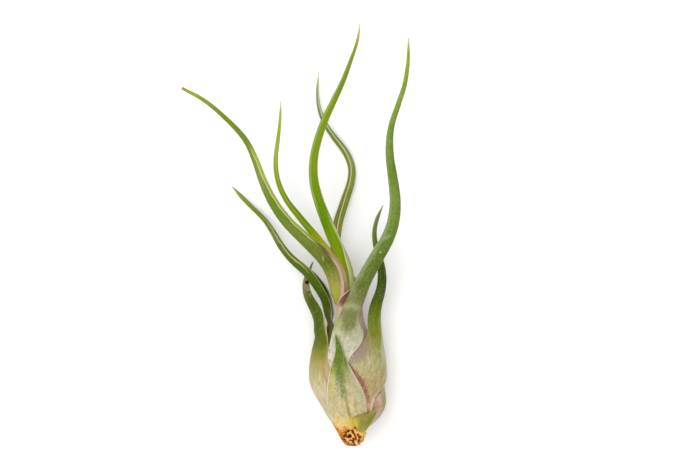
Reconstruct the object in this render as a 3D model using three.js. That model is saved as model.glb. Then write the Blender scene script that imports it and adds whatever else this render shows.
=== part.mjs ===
// Air plant of the bulbous kind, lying on its back.
// Rolled leaves grow from a short stem, and their wide sheaths wrap one another
// into a hollow false bulb. Each leaf is one thin solid in a node of its own.
//
// Millimetres. +Y runs from the crown to the leaf tips, +Z is up, and the origin
// is the middle of the flat spot under the bulb, where the plant rests.

import * as THREE from 'three';

// ---- driving dimensions -------------------------------------------------------

const bulb = {
  axisHeight: 13,       // bulb axis above the surface it lies on
  radius: 14.75,        // of the sheath layer that makes the side outline
  halfLength: 23.4,     // from its widest place to each end
  upperPower: 2,        // an ellipse above the widest place
  lowerPower: 2.4,      // and a blunter curve below it
  layerPitch: 1.05,     // from one sheath layer to the next
  tailShift: 2.8,       // the lower half of the axis leans this far to +X
  tailFrom: -3,         // the lean begins here
  tailTo: -15,          // and is complete here
  crownReturn: 1.1,     // and the crown comes back this far
  crownFrom: -19,
  crownTo: -27,
  endTilt: 25,          // degrees by which the crown end is tipped up
  tiltFrom: -11,
  tiltTo: -25,
};

const leafThickness = 0.7;
const baseRadius = 4.4;       // outer radius of a sheath where it clasps the stem
const narrowestHollow = 0.2;  // a rolled tip keeps this share of its radius open
const turnLength = 9;         // along Y, in which a section turns to face its blade

const stem = {
  radius: 3.4,
  top: -12,
  crownRadius: 4.8,
  crownTop: -22.8,
  crownEnd: -27.7,
  sides: 22,
};

// ---- leaves -------------------------------------------------------------------
//
// A leaf's cross-section is an arc about a centre. Its face is the compass angle
// of the leaf's outer side about +Y (0 up, 90 to +X, 180 down) and its wrap is the
// half angle of the arc, both in degrees.
//
// layer    sheath layer on the bulb, 0 makes the side outline, higher lies outside
// base     y where the sheath is torn off short of the stem, round the crown
// clasp    [face, wrap] at the base, or where the sheath clasps the stem
// sheath   rows of [y, face, wrap] on the bulb
// blade    rows of [x, y, z, radius, face, wrap] along the rolled blade
// squareTo sections lie square to Y this far up, and turn to the blade above it
// across   strips across the leaf
// steps    stations for each interval between two rows

const leaves = [
  {
    name: 'bract_base',
    colour: '#9aa53c',
    squareTo: -14,
    layer: 3,
    across: 8,
    steps: 1,
    base: -24.8,
    clasp: [29, 11],
    sheath: [
      [-23.8, 22, 17],
      [-22.8, 16.5, 20.5],
      [-21.6, 15.5, 20.5],
      [-20.2, 15, 20],
      [-19, 20, 14],
      [-17.8, 24.5, 8.5],
      [-16.3, 28, 4],
      [-14.8, 30, 1.2],
    ],
    blade: [],
  },
  {
    name: 'leaf_short_front',
    colour: '#b9b98a',
    squareTo: 20,
    layer: 2,
    across: 8,
    steps: 1,
    base: -22.9,
    clasp: [-16, 44],
    sheath: [
      [-20, -15, 37.5],
      [-15.5, -13.5, 33],
      [-12, -12, 30.5],
      [-8, -7.5, 27.8],
      [-5, -6, 24],
      [-2.7, -6.6, 20.6],
      [-0.5, -8, 17],
      [3.2, -9.8, 11.8],
      [6.2, -11, 7.2],
      [9, -12, 5],
      [12, -15, 3.4],
    ],
    blade: [
      [0, 14.7, 13.4, 13.75, -19.5, 1],
    ],
  },
  {
    name: 'leaf_front',
    colour: '#8c9c66',
    squareTo: 9.4,
    layer: 1,
    across: 10,
    steps: 2,
    base: -22.4,
    clasp: [-16.5, 38],
    sheath: [
      [-18, -12.5, 29.5],
      [-9, -8.8, 21.2],
      [-1, -9, 13],
      [3, -13.2, 12.4],
      [5, -15, 15],
      [7.1, -14, 18.2],
      [9.4, -8.8, 22.8],
    ],
    blade: [
      [-0.2, 13, 16.1, 9.5, 0, 40.5],
      [0.2, 15.4, 17.2, 7.5, 3, 50],
      [-0.1, 17.8, 18.5, 5.6, 1, 60],
      [0.5, 20.6, 19.6, 4.3, 0, 69],
      [1.3, 23.6, 20.6, 3.55, 0, 76],
      [2.8, 27.2, 22.3, 3.25, 4, 88],
      [4.2, 30.6, 24.4, 3, 8, 102],
      [5.3, 33.6, 26.4, 2.9, 10, 110],
      [8.2, 39.3, 29.4, 2.75, 10, 115],
      [11.6, 45.2, 32.4, 2.6, 8, 118],
      [14.7, 50.7, 35, 2.4, 4, 120],
      [16.8, 57.3, 37.6, 2.2, 0, 120],
      [17.3, 64.8, 39.6, 2, -5, 120],
      [16.4, 72.4, 40.6, 1.8, -10, 120],
      [15.2, 81.6, 40.6, 1.5, -10, 120],
      [15.7, 90.8, 40, 1.2, -5, 120],
      [18.6, 100, 39, 1, 0, 120],
      [20.9, 107.2, 38, 0.85, 0, 120],
      [22.1, 116, 37.4, 0.65, 0, 120],
      [22.2, 124, 37.4, 0.45, 0, 120],
    ],
  },
  {
    name: 'leaf_right',
    colour: '#7d8a4a',
    squareTo: 8.5,
    layer: 0,
    across: 10,
    steps: 2,
    clasp: [28, 30],
    sheath: [
      [-19, 24, 16],
      [-15, 20.5, 10.5],
      [-11.7, 21.8, 9.7],
      [-9, 25.8, 11.8],
      [-7.4, 30.8, 16.8],
      [-6, 36.5, 23.5],
      [-4.5, 42.5, 31.5],
      [-2.7, 49.2, 42.2],
      [-0.5, 55.5, 53.5],
      [3, 59, 63],
      [8.5, 57.5, 57.5],
    ],
    blade: [
      [5.6, 13, 14.6, 7.4, 68, 58],
      [7.9, 16.4, 16.2, 4.7, 70, 74],
      [8.8, 20.4, 17, 3.5, 68, 92],
      [9.9, 25.2, 16.6, 2.8, 70, 105],
      [11.8, 30.4, 16, 2.3, 75, 112],
      [12.5, 35.8, 15.6, 2.1, 80, 116],
      [11.8, 41.8, 15.6, 1.75, 85, 118],
      [10.3, 47, 16, 1.4, 90, 120],
      [9.6, 51.8, 17, 1.15, 90, 120],
      [10.4, 56.8, 18.4, 0.95, 90, 120],
      [11.9, 60.4, 19.8, 0.72, 90, 120],
      [13.1, 62.8, 21, 0.45, 90, 120],
    ],
  },
  {
    name: 'leaf_left_low',
    colour: '#6f8436',
    squareTo: 12,
    layer: 0,
    across: 10,
    steps: 2,
    clasp: [-88, 60],
    sheath: [
      [-17, -88, 62],
      [-9, -88, 64],
      [-1, -88, 65],
      [6, -88, 61],
      [12, -86, 50],
    ],
    blade: [
      [-8.2, 16.4, 16.4, 4.6, -76, 78],
      [-9.8, 19.8, 17.3, 3, -70, 94],
      [-12, 23.8, 16.2, 2.35, -66, 108],
      [-14.6, 27.9, 13.8, 1.9, -66, 115],
      [-15.8, 32.4, 11.2, 1.6, -70, 118],
      [-15, 37, 9, 1.2, -75, 120],
      [-13.3, 41.4, 8, 0.45, -80, 120],
    ],
  },
  {
    name: 'leaf_short_back',
    colour: '#b3a583',
    squareTo: 10.5,
    layer: -1,
    across: 20,
    steps: 1,
    clasp: [124, 126],
    sheath: [
      [-18.5, 124, 126],
      [-15, 124, 126],
      [-11, 124, 126],
      [-7, 124, 126],
      [-3.5, 124, 126],
      [0, 125, 125],
      [3, 128, 118],
      [4.8, 133, 106],
      [6.5, 138, 94],
      [8.5, 148, 64],
      [10.5, 154, 36],
    ],
    blade: [
      [4.5, 12.5, 8.6, 6.5, 140, 24],
      [8.6, 14.6, 7.6, 3.6, 130, 28],
      [11.5, 16.4, 7.8, 1.3, 122, 45],
      [12.5, 17.8, 8.2, 0.5, 118, 60],
    ],
  },
  {
    name: 'leaf_left_mid',
    colour: '#55772a',
    squareTo: 15,
    layer: -2,
    across: 10,
    steps: 2,
    clasp: [-45, 80],
    sheath: [
      [-9, -45, 80],
      [0, -45, 80],
      [7, -48, 74],
      [12.5, -58, 58],
      [17, -73, 35],
    ],
    blade: [
      [-6.6, 22, 11, 2.5, -110, 110],
      [-7.7, 27.4, 12, 2.5, -122, 118],
      [-10.2, 32, 13.6, 2.6, -118, 118],
      [-14.5, 37.8, 14.2, 2.5, -115, 114],
      [-20.6, 42.7, 11.5, 2.1, -118, 116],
      [-25.1, 47.8, 8.4, 1.8, -120, 118],
      [-28.5, 53.2, 5.2, 1.45, -120, 118],
      [-32, 58, 2.9, 1.2, -120, 118],
      [-37.7, 63.4, 1.05, 1.08, -120, 118],
      [-41.6, 67.2, 1.5, 0.85, -120, 118],
      [-44.4, 70.2, 2.8, 0.45, -120, 118],
    ],
  },
  {
    name: 'leaf_back',
    colour: '#7f8c45',
    squareTo: 30,
    layer: -3,
    across: 12,
    steps: 2,
    clasp: [67, 133],
    sheath: [
      [-8, 67, 133],
      [3, 67, 133],
      [9, 67, 133],
      [13, 67, 133],
    ],
    blade: [
      [0.5, 18, 13.9, 5.75, 67, 133],
      [0.4, 21, 14.4, 5.4, 67, 133],
      [0.2, 24, 14.9, 5.1, 67, 133],
      [0.3, 26.3, 15.3, 5, 69, 131],
      [0.5, 28, 16, 4.9, 75, 124],
      [0.8, 29.7, 16.1, 4.7, 81, 116],
      [1, 31, 15.1, 4.45, 93, 103],
      [1, 32, 13.8, 4.2, 107, 87],
      [0.8, 33.2, 12.5, 3.8, 125, 65],
      [-0.9, 35.2, 11.8, 3.2, 136, 72],
      [-2.4, 38.6, 10.9, 2.8, 135, 86],
      [-5, 46, 8.8, 2.5, 135, 98],
      [-4.7, 54.4, 6.4, 2.3, 135, 104],
      [-1.6, 65, 3.6, 2.05, 138, 108],
      [0.9, 72.6, 2.2, 1.8, 140, 112],
      [1.2, 78, 1.55, 1.6, 140, 114],
      [-0.9, 83.4, 1.8, 1.45, 140, 116],
      [-4.7, 88.4, 2.6, 1.25, 140, 118],
      [-8.4, 93.6, 3.6, 1, 140, 120],
      [-11, 99.8, 5, 0.8, 140, 120],
      [-11.7, 106.4, 6, 0.6, 140, 120],
      [-11.1, 114, 7, 0.45, 140, 120],
    ],
  },
  {
    name: 'leaf_left_long',
    colour: '#7c8f4e',
    squareTo: 21,
    layer: -4,
    across: 10,
    steps: 2,
    clasp: [-40, 108],
    sheath: [
      [-7, -40, 108],
      [3, -40, 108],
      [8, -40, 108],
    ],
    blade: [
      [0, 13, 13.1, 7.7, -40, 106],
      [0.4, 18, 13.6, 4.6, -42, 90],
      [-0.2, 21, 14, 3.6, -46, 76],
      [-0.9, 24, 14.1, 2.8, -50, 70],
      [-2.7, 28, 14.6, 3.15, -50, 70],
      [-3.6, 32.4, 18, 3.3, -42, 88],
      [-5.4, 38, 21.4, 3.15, -34, 100],
      [-8.9, 43.4, 23.8, 2.85, -32, 106],
      [-15.8, 50, 26, 2.4, -34, 110],
      [-22.8, 56.9, 27.4, 2.15, -40, 114],
      [-28.1, 64.6, 27.8, 1.95, -50, 116],
      [-31.6, 72.3, 27.2, 1.75, -64, 116],
      [-34.2, 79.8, 26.2, 1.6, -78, 116],
      [-37.9, 87.3, 25, 1.35, -84, 116],
      [-44.8, 94.8, 23.8, 1.08, -84, 116],
      [-53.6, 102.2, 22.8, 0.9, -84, 116],
      [-62.1, 106.8, 22, 0.66, -84, 116],
    ],
  },
  {
    name: 'leaf_centre',
    colour: '#85a32a',
    squareTo: 21,
    layer: -5,
    across: 10,
    steps: 2,
    clasp: [80, 110],
    sheath: [
      [-6, 80, 110],
      [3, 80, 110],
      [8, 80, 110],
    ],
    blade: [
      [0, 13, 13.1, 6.55, 80, 110],
      [0.6, 18, 13.6, 3.3, 80, 110],
      [1.2, 21, 13.9, 2.4, 82, 106],
      [1.7, 24, 14.2, 2.2, 86, 100],
      [1.3, 28, 14.8, 2.25, 90, 96],
      [0.4, 33, 15.7, 2.2, 104, 94],
      [-0.3, 37.9, 18.3, 2.3, 113, 91],
      [-2, 42.8, 20.6, 2.35, 125, 96],
      [-3.7, 46.5, 22, 2.35, 142, 92],
      [-5.2, 49.9, 23.7, 2.35, 164, 84],
      [-8.2, 57.4, 26.8, 2.25, 178, 70],
      [-11, 64.8, 29, 2.05, 178, 68],
      [-12.7, 72.2, 30.6, 1.85, 178, 70],
      [-12.7, 79.6, 31.8, 1.68, 178, 72],
      [-11.1, 86.9, 32.6, 1.55, 178, 76],
      [-8.5, 94.3, 33.2, 1.38, 176, 82],
      [-5, 101.6, 34, 1.2, 174, 90],
      [-1.6, 108.8, 35, 0.98, 170, 100],
      [1.1, 116, 36, 0.75, 165, 110],
      [3.6, 123.2, 36.6, 0.55, 160, 116],
      [4.4, 129.2, 37, 0.42, 160, 116],
    ],
  },
  {
    name: 'leaf_thin',
    colour: '#8fae30',
    squareTo: 21,
    layer: -6,
    across: 8,
    steps: 2,
    clasp: [-120, 100],
    sheath: [
      [-5, -120, 100],
      [3, -120, 100],
      [8, -120, 100],
    ],
    blade: [
      [0, 13, 13.1, 5.35, -120, 102],
      [0.6, 18, 13.6, 2.4, -120, 104],
      [1.2, 21, 13.9, 1.45, -120, 106],
      [1.5, 24, 14.1, 1.15, -120, 110],
      [-0.1, 28, 13.6, 1.15, -120, 110],
      [-1, 33, 13.8, 1.4, -118, 110],
      [-2, 37.9, 14.2, 1.6, -114, 110],
      [-5.8, 43.4, 16.2, 1.6, -110, 112],
      [-11.1, 50.2, 18.4, 1.6, -108, 112],
      [-17.3, 57.7, 20.4, 1.4, -106, 114],
      [-23, 65.1, 22, 1.22, -104, 114],
      [-26.1, 72.4, 23, 1.12, -102, 114],
      [-26.8, 79.8, 24, 1.02, -100, 114],
      [-25.9, 87.4, 25, 0.88, -100, 114],
      [-25.1, 95.2, 26, 0.64, -100, 114],
      [-24.9, 101.8, 27, 0.42, -100, 114],
    ],
  },
];

// ---- shape of the bulb --------------------------------------------------------

const degrees = Math.PI / 180;

// Middle of the bulb at y, and the direction its cross-section is square to.
function bulbCentre(y) {
  return new THREE.Vector3(axisX(y), y, bulb.axisHeight);
}

function bulbNormal(y) {
  const tilted = 1 - THREE.MathUtils.smoothstep(y, bulb.tiltTo, bulb.tiltFrom);
  const angle = bulb.endTilt * degrees * tilted;
  return new THREE.Vector3(0, Math.cos(angle), -Math.sin(angle));
}

function axisX(y) {
  const lean = 1 - THREE.MathUtils.smoothstep(y, bulb.tailTo, bulb.tailFrom);
  const back = 1 - THREE.MathUtils.smoothstep(y, bulb.crownTo, bulb.crownFrom);
  return bulb.tailShift * lean - bulb.crownReturn * back;
}

function layerRadius(layer, y) {
  const offset = layer * bulb.layerPitch;
  const share = Math.abs(y) / (bulb.halfLength + offset);
  const power = y < 0 ? bulb.lowerPower : bulb.upperPower;
  return (bulb.radius + offset) * Math.sqrt(Math.max(1 - share ** power, 0));
}

// Where a layer's ellipsoid has narrowed to the clasp round the stem.
function claspY(layer) {
  const offset = layer * bulb.layerPitch;
  const share = baseRadius / (bulb.radius + offset);
  return -(bulb.halfLength + offset) * (1 - share * share) ** (1 / bulb.lowerPower);
}

// ---- one leaf -----------------------------------------------------------------

// Rows of [x, y, z, radius, face, half width in mm] from clasp to tip.
function leafRows(leaf) {
  const onBulb = [[leaf.base ?? claspY(leaf.layer), ...leaf.clasp], ...leaf.sheath];
  const sheathRows = onBulb.map(([y, face, wrap]) =>
    [axisX(y), y, bulb.axisHeight, layerRadius(leaf.layer, y), face, wrap]);
  const rows = [...sheathRows, ...leaf.blade].map(([x, y, z, radius, face, wrap]) =>
    [x, y, z, radius, face, radius * wrap * degrees]);
  return { rows, lastOnBulb: onBulb.length - 1 };
}

// Smooth curve through the rows, with the spacing along Y as its parameter.
function rowAt(rows, knots, at) {
  const last = rows.length - 1;
  const i = Math.min(Math.floor(at), last - 1);
  const t = at - i;
  const span = knots[i + 1] - knots[i];
  const slope = (k, j) => {
    const a = Math.max(j - 1, 0);
    const b = Math.min(j + 1, last);
    return (rows[b][k] - rows[a][k]) / (knots[b] - knots[a]);
  };
  return rows[i].map((_, k) => {
    const p = rows[i][k];
    const q = rows[i + 1][k];
    const m = slope(k, i) * span;
    const n = slope(k, i + 1) * span;
    return (2 * t ** 3 - 3 * t ** 2 + 1) * p + (t ** 3 - 2 * t ** 2 + t) * m
      + (3 * t ** 2 - 2 * t ** 3) * q + (t ** 3 - t ** 2) * n;
  });
}

function outwardAt(face) {
  return new THREE.Vector3(Math.sin(face * degrees), 0, Math.cos(face * degrees));
}

function leafStations(leaf) {
  const { rows, lastOnBulb } = leafRows(leaf);
  const knots = [0];
  for (let i = 1; i < rows.length; i += 1) {
    const step = Math.hypot(...[0, 1, 2].map((k) => rows[i][k] - rows[i - 1][k]));
    knots.push(knots[i - 1] + step);
  }
  const count = (rows.length - 1) * leaf.steps;
  const stations = [];
  for (let n = 0; n <= count; n += 1) {
    const at = n / leaf.steps;
    const row = rowAt(rows, knots, at);
    if (at <= lastOnBulb) {
      row[0] = axisX(row[1]);
      row[2] = bulb.axisHeight;
      row[3] = layerRadius(leaf.layer, row[1]);
    }
    const [x, y, z, radius, face, halfWidth] = row;
    const centre = new THREE.Vector3(x, y, z);
    const wrap = halfWidth / radius;
    const reach = radius * Math.sin(wrap) / wrap;
    const middle = centre.clone().addScaledVector(outwardAt(face), reach);
    stations.push({ centre, middle, radius, face, wrap });
  }
  return stations;
}

// Direction that each cross-section is square to: the bulb's own on the bulb and
// its neck, and along the line through the middles of the arcs on the blade.
function sectionNormals(stations, squareTo) {
  return stations.map((station, i) => {
    const before = stations[Math.max(i - 1, 0)].middle;
    const after = stations[Math.min(i + 1, stations.length - 1)].middle;
    const along = after.clone().sub(before).normalize();
    const turned = THREE.MathUtils.smoothstep(station.centre.y, squareTo, squareTo + turnLength);
    return bulbNormal(station.centre.y).lerp(along, turned).normalize();
  });
}

// Where the plant lies on the surface its skin is pressed flat.
function pressed(point, lowest) {
  point.z = Math.max(point.z, lowest);
  return point;
}

function sectionPoints(station, normal, across) {
  const outward = outwardAt(station.face);
  outward.addScaledVector(normal, -outward.dot(normal)).normalize();
  const sideways = normal.clone().cross(outward);
  const inner = Math.max(station.radius - leafThickness, station.radius * narrowestHollow);
  const ring = (radius, lowest) => {
    const points = [];
    for (let k = 0; k <= across; k += 1) {
      const angle = station.wrap * (2 * k / across - 1);
      const point = station.centre.clone()
        .addScaledVector(outward, radius * Math.cos(angle))
        .addScaledVector(sideways, radius * Math.sin(angle));
      points.push(pressed(point, lowest));
    }
    return points;
  };
  return { outside: ring(station.radius, 0), inside: ring(inner, leafThickness) };
}

// Closed skin over the outer rings, the inner rings, both margins and both ends.
function leafGeometry(leaf) {
  const stations = leafStations(leaf);
  const normals = sectionNormals(stations, leaf.squareTo);
  const sections = stations.map((station, i) => sectionPoints(station, normals[i], leaf.across));
  const loop = sections.map(({ outside, inside }) => [...outside, ...inside.slice().reverse()]);
  const sides = loop[0].length;
  const index = [];
  for (let i = 0; i + 1 < loop.length; i += 1) {
    for (let k = 0; k < sides; k += 1) {
      const a = i * sides + k;
      const b = i * sides + (k + 1) % sides;
      index.push(a, b, a + sides, b, b + sides, a + sides);
    }
  }
  const end = (loop.length - 1) * sides;
  for (let k = 0; k < leaf.across; k += 1) {
    const mirror = sides - 1 - k;
    index.push(k, mirror, k + 1, k + 1, mirror, mirror - 1);
    index.push(end + k, end + k + 1, end + mirror, end + k + 1, end + mirror - 1, end + mirror);
  }
  const geometry = new THREE.BufferGeometry();
  geometry.setAttribute('position', new THREE.Float32BufferAttribute(loop.flat().flatMap((p) => p.toArray()), 3));
  geometry.setIndex(index);
  geometry.computeVertexNormals();
  return geometry;
}

// ---- stem ---------------------------------------------------------------------

// Height along Y and radius of each ring, and how torn the ring is.
const stemRings = [
  [stem.crownEnd, 2, 0.3],
  [stem.crownEnd + 0.5, 2.9, 0.35],
  [stem.crownEnd + 1.7, 3.9, 0.35],
  [stem.crownEnd + 3, 4.5, 0.3],
  [stem.crownTop - 0.6, stem.crownRadius, 0.2],
  [stem.crownTop - 0.1, stem.crownRadius - 0.2, 0.15],
  [stem.crownTop, stem.radius, 0],
  [-19, stem.radius, 0],
  [-15.5, stem.radius, 0],
  [stem.top - 1.5, stem.radius - 0.6, 0],
  [stem.top, 1.6, 0],
];

// Pits torn into the crown: [angle about +Y, y, radius, depth], in degrees and mm.
const crownPits = [
  [-11, -25.9, 1.3, 1.5],
  [24, -26, 1.1, 1.3],
  [0, -27.4, 0.8, 0.8],
  [140, -25.5, 1.2, 1],
];

function stemRadius(radius, torn, angle, y) {
  const ragged = torn * (0.6 * Math.sin(3 * angle + 1.1 * y) + 0.4 * Math.sin(7 * angle - 2 * y));
  const pits = crownPits.reduce((sum, [pitAngle, pitY, size, depth]) => {
    const away = Math.hypot(radius * Math.sin((angle - pitAngle * degrees) / 2) * 2, y - pitY);
    return sum + depth * Math.exp(-((away / size) ** 2));
  }, 0);
  return radius + ragged - (torn > 0 ? pits : 0);
}

function stemGeometry() {
  const positions = [];
  const index = [];
  for (const [y, radius, torn] of stemRings) {
    const right = new THREE.Vector3(1, 0, 0);
    const up = right.clone().cross(bulbNormal(y));
    for (let k = 0; k < stem.sides; k += 1) {
      const angle = 2 * Math.PI * k / stem.sides;
      const r = stemRadius(radius, torn, angle, y);
      const point = bulbCentre(y)
        .addScaledVector(right, r * Math.sin(angle))
        .addScaledVector(up, r * Math.cos(angle));
      positions.push(...point.toArray());
    }
  }
  const rings = stemRings.length;
  for (let i = 0; i + 1 < rings; i += 1) {
    for (let k = 0; k < stem.sides; k += 1) {
      const a = i * stem.sides + k;
      const b = i * stem.sides + (k + 1) % stem.sides;
      index.push(a, b, a + stem.sides, b, b + stem.sides, a + stem.sides);
    }
  }
  const low = positions.length / 3;
  positions.push(...bulbCentre(stem.crownEnd + 0.9).toArray());
  positions.push(...bulbCentre(stem.top + 0.5).toArray());
  for (let k = 0; k < stem.sides; k += 1) {
    const next = (k + 1) % stem.sides;
    const topRing = (rings - 1) * stem.sides;
    index.push(low, next, k);
    index.push(low + 1, topRing + k, topRing + next);
  }
  const geometry = new THREE.BufferGeometry();
  geometry.setAttribute('position', new THREE.Float32BufferAttribute(positions, 3));
  geometry.setIndex(index);
  geometry.computeVertexNormals();
  return geometry;
}

// ---- the plant ----------------------------------------------------------------

function named(name, geometry, colour, roughness) {
  const material = new THREE.MeshStandardMaterial({ color: colour, roughness, metalness: 0 });
  const mesh = new THREE.Mesh(geometry, material);
  mesh.name = name;
  return mesh;
}

const plant = new THREE.Group();
plant.add(named('stem', stemGeometry(), '#8a5a2a', 0.9));
for (const leaf of leaves) plant.add(named(leaf.name, leafGeometry(leaf), leaf.colour, 0.6));

export default plant;
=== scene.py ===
import math

import bpy
import numpy as np
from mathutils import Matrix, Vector, noise


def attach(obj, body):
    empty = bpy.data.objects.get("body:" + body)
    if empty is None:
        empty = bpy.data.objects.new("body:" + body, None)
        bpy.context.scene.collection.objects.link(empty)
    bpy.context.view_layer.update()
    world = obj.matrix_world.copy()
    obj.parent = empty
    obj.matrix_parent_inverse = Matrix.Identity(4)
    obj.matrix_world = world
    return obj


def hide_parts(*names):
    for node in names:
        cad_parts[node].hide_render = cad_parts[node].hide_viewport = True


# An air plant lying on its back, seen from straight above.
# Leaf rows are in millimetres and degrees, everything in Blender is in metres.
# +Y runs from the torn crown to the leaf tips, +X is to the right, +Z is up.

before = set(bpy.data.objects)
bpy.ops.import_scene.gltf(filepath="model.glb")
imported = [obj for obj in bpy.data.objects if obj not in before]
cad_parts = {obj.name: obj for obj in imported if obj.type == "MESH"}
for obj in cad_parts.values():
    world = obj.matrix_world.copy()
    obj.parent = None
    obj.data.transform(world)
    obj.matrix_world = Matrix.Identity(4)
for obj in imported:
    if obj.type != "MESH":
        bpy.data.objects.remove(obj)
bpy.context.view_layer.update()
mm = 0.001
noise.seed_set(7)      # so the crown is torn alike in each run


def deselectAll():
    bpy.ops.object.select_all(action="DESELECT")


def smoothStep(value, low, high):
    t = np.clip((value - low) / (high - low), 0, 1)
    return t * t * (3 - 2 * t)


def bell(value, height, middle, width):
    # a smooth hump over the middle
    return height * np.exp(-(((value - middle) / width) ** 2))


def unit(vectors):
    return vectors / np.linalg.norm(vectors, axis=1, keepdims=True)


def hexColour(text):
    # sRGB hex to the linear colour that the shaders want
    parts = [int(text[i:i + 2], 16) / 255 for i in (1, 3, 5)]
    return [p / 12.92 if p <= 0.04045 else ((p + 0.055) / 1.055) ** 2.4 for p in parts] + [1.0]


def newMaterial(name):
    material = bpy.data.materials.new(name)
    material.use_nodes = True
    material.node_tree.nodes.clear()
    return material, material.node_tree


def addNode(tree, kind, inputs=None, output=0, **settings):
    # adds a node with its own settings and its links or fixed values, and gives its output
    node = tree.nodes.new(kind)
    for name, value in settings.items():
        setattr(node, name, value)
    for name, value in (inputs or {}).items():
        if isinstance(value, bpy.types.NodeSocket):
            tree.links.new(value, node.inputs[name])
        else:
            node.inputs[name].default_value = value
    return node.outputs[output] if node.outputs else None


def fillRamp(ramp, stops):
    # stops are (place from 0 to 1, colour), the first and the last one at its ends
    for at, text in stops[1:-1]:
        ramp.elements.new(at).color = hexColour(text)
    ramp.elements[0].color = hexColour(stops[0][1])
    ramp.elements[len(ramp.elements) - 1].color = hexColour(stops[-1][1])


# Shape of the bulb, as the sheaths wrap it. Layer 0 lies at its radius, and a higher
# layer is further out.
bulb = {
    "axisHeight": 13, "radius": 14.75, "halfLength": 23.4, "layerPitch": 1.05,
    "upperPower": 2, "lowerPower": 2.4,                   # blunter below its widest place
    "tailShift": 2.8, "tailFrom": -3, "tailTo": -15,      # lower half leans to +X
    "crownReturn": 1.1, "crownFrom": -19, "crownTo": -27,
    "endTilt": 25, "tiltFrom": -11, "tiltTo": -25,        # crown end is tipped up
    "claspRadius": 4.4,                                   # where a sheath clasps the stem
    "lump": 0.35, "lumpSize": 11,                         # soft dents, the same for all layers
    "lumpFade": (8, 24),                                  # y in which they fade out at the neck
}


def axisX(y):
    lean = 1 - smoothStep(y, bulb["tailTo"], bulb["tailFrom"])
    back = 1 - smoothStep(y, bulb["crownTo"], bulb["crownFrom"])
    return bulb["tailShift"] * lean - bulb["crownReturn"] * back


def layerRadius(layer, y):
    offset = layer * bulb["layerPitch"]
    share = np.abs(y) / (bulb["halfLength"] + offset)
    power = np.where(y < 0, bulb["lowerPower"], bulb["upperPower"])
    return (bulb["radius"] + offset) * np.sqrt(np.maximum(1 - share ** power, 0))


def claspY(layer):
    # where a layer has narrowed to the stem
    offset = layer * bulb["layerPitch"]
    share = bulb["claspRadius"] / (bulb["radius"] + offset)
    return -(bulb["halfLength"] + offset) * (1 - share * share) ** (1 / bulb["lowerPower"])


def bulbNormal(y):
    # direction that a cross-section of the bulb is square to
    angle = np.radians(bulb["endTilt"]) * (1 - smoothStep(y, bulb["tiltTo"], bulb["tiltFrom"]))
    return np.stack([0 * angle, np.cos(angle), -np.sin(angle)], axis=1)


def lumpField(points):
    # slow dents and swellings of the whole bulb, fading out along the blades
    places = points.reshape(-1, 3)
    swell = np.array([noise.noise(Vector(p) / bulb["lumpSize"]) for p in places]).reshape(points.shape[:-1])
    return bulb["lump"] * swell * (1 - smoothStep(points[..., 1], *bulb["lumpFade"]))


# Mesh of a leaf. Lengths are in mm.
leafBuild = {
    "spacing": 0.7,                # between stations along a leaf
    "strips": 48,                  # strips across its outer side, and as many inside
    "evenOut": 1.6,                # rounds off the change from sheath to blade
    "tangentReach": 4,             # over which a blade's direction is taken
    "turnLength": 9,               # in which a section turns to face its blade
    "thickness": 0.7,
    "hollow": 0.45,                # a thin rolled tip keeps this share of its radius open
    "marginThickness": 0.22, "marginTaper": 2.6,          # a leaf thins towards its margins
    "taperShare": 0.9,             # but over no more than this share of its radius
    "marginBulge": 0.45,           # how round a margin is, as a share of its thickness
    "baseThickness": 0.08, "baseTaper": 0.8,              # share of the wall left at the very base
    "tipLength": 6, "tipRadius": 0.55,                    # a blade draws out to a fine tip
    "veins": 15, "veinHeight": 0.045,                     # raised veins across a leaf
    "veinRise": (0.3, 1.2),        # from the margin, where they start and are full
    "veinRadius": 2.4,             # they flatten where a leaf is rolled tighter
    "marginWave": 0.22, "waveLength": 7, "waveRadius": 9,  # a broad sheath's margin wanders
    "wavePower": 1.5, "waveReach": 3,                     # less on a narrow blade, and only near the margin
    "layerSeed": 3.7, "sideSeed": 9.1,                    # so no two margins wander alike
    "hugFade": 3,                  # along the leaf, at each end of a hug
    "weld": 0.002,                 # closes the seams
}


def evenOut(values, spacing, reach):
    # running average along the leaf that keeps both ends where they are
    half = max(int(round(3 * reach / spacing)), 1)
    weights = np.exp(-0.5 * (np.arange(-half, half + 1) * spacing / reach) ** 2)
    weights /= weights.sum()
    low = 2 * values[0] - values[1:half + 1][::-1]
    high = 2 * values[-1] - values[-half - 1:-1][::-1]
    padded = np.concatenate([low, values, high])
    return np.stack([np.convolve(column, weights, mode="valid") for column in padded.T], axis=1)


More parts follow.
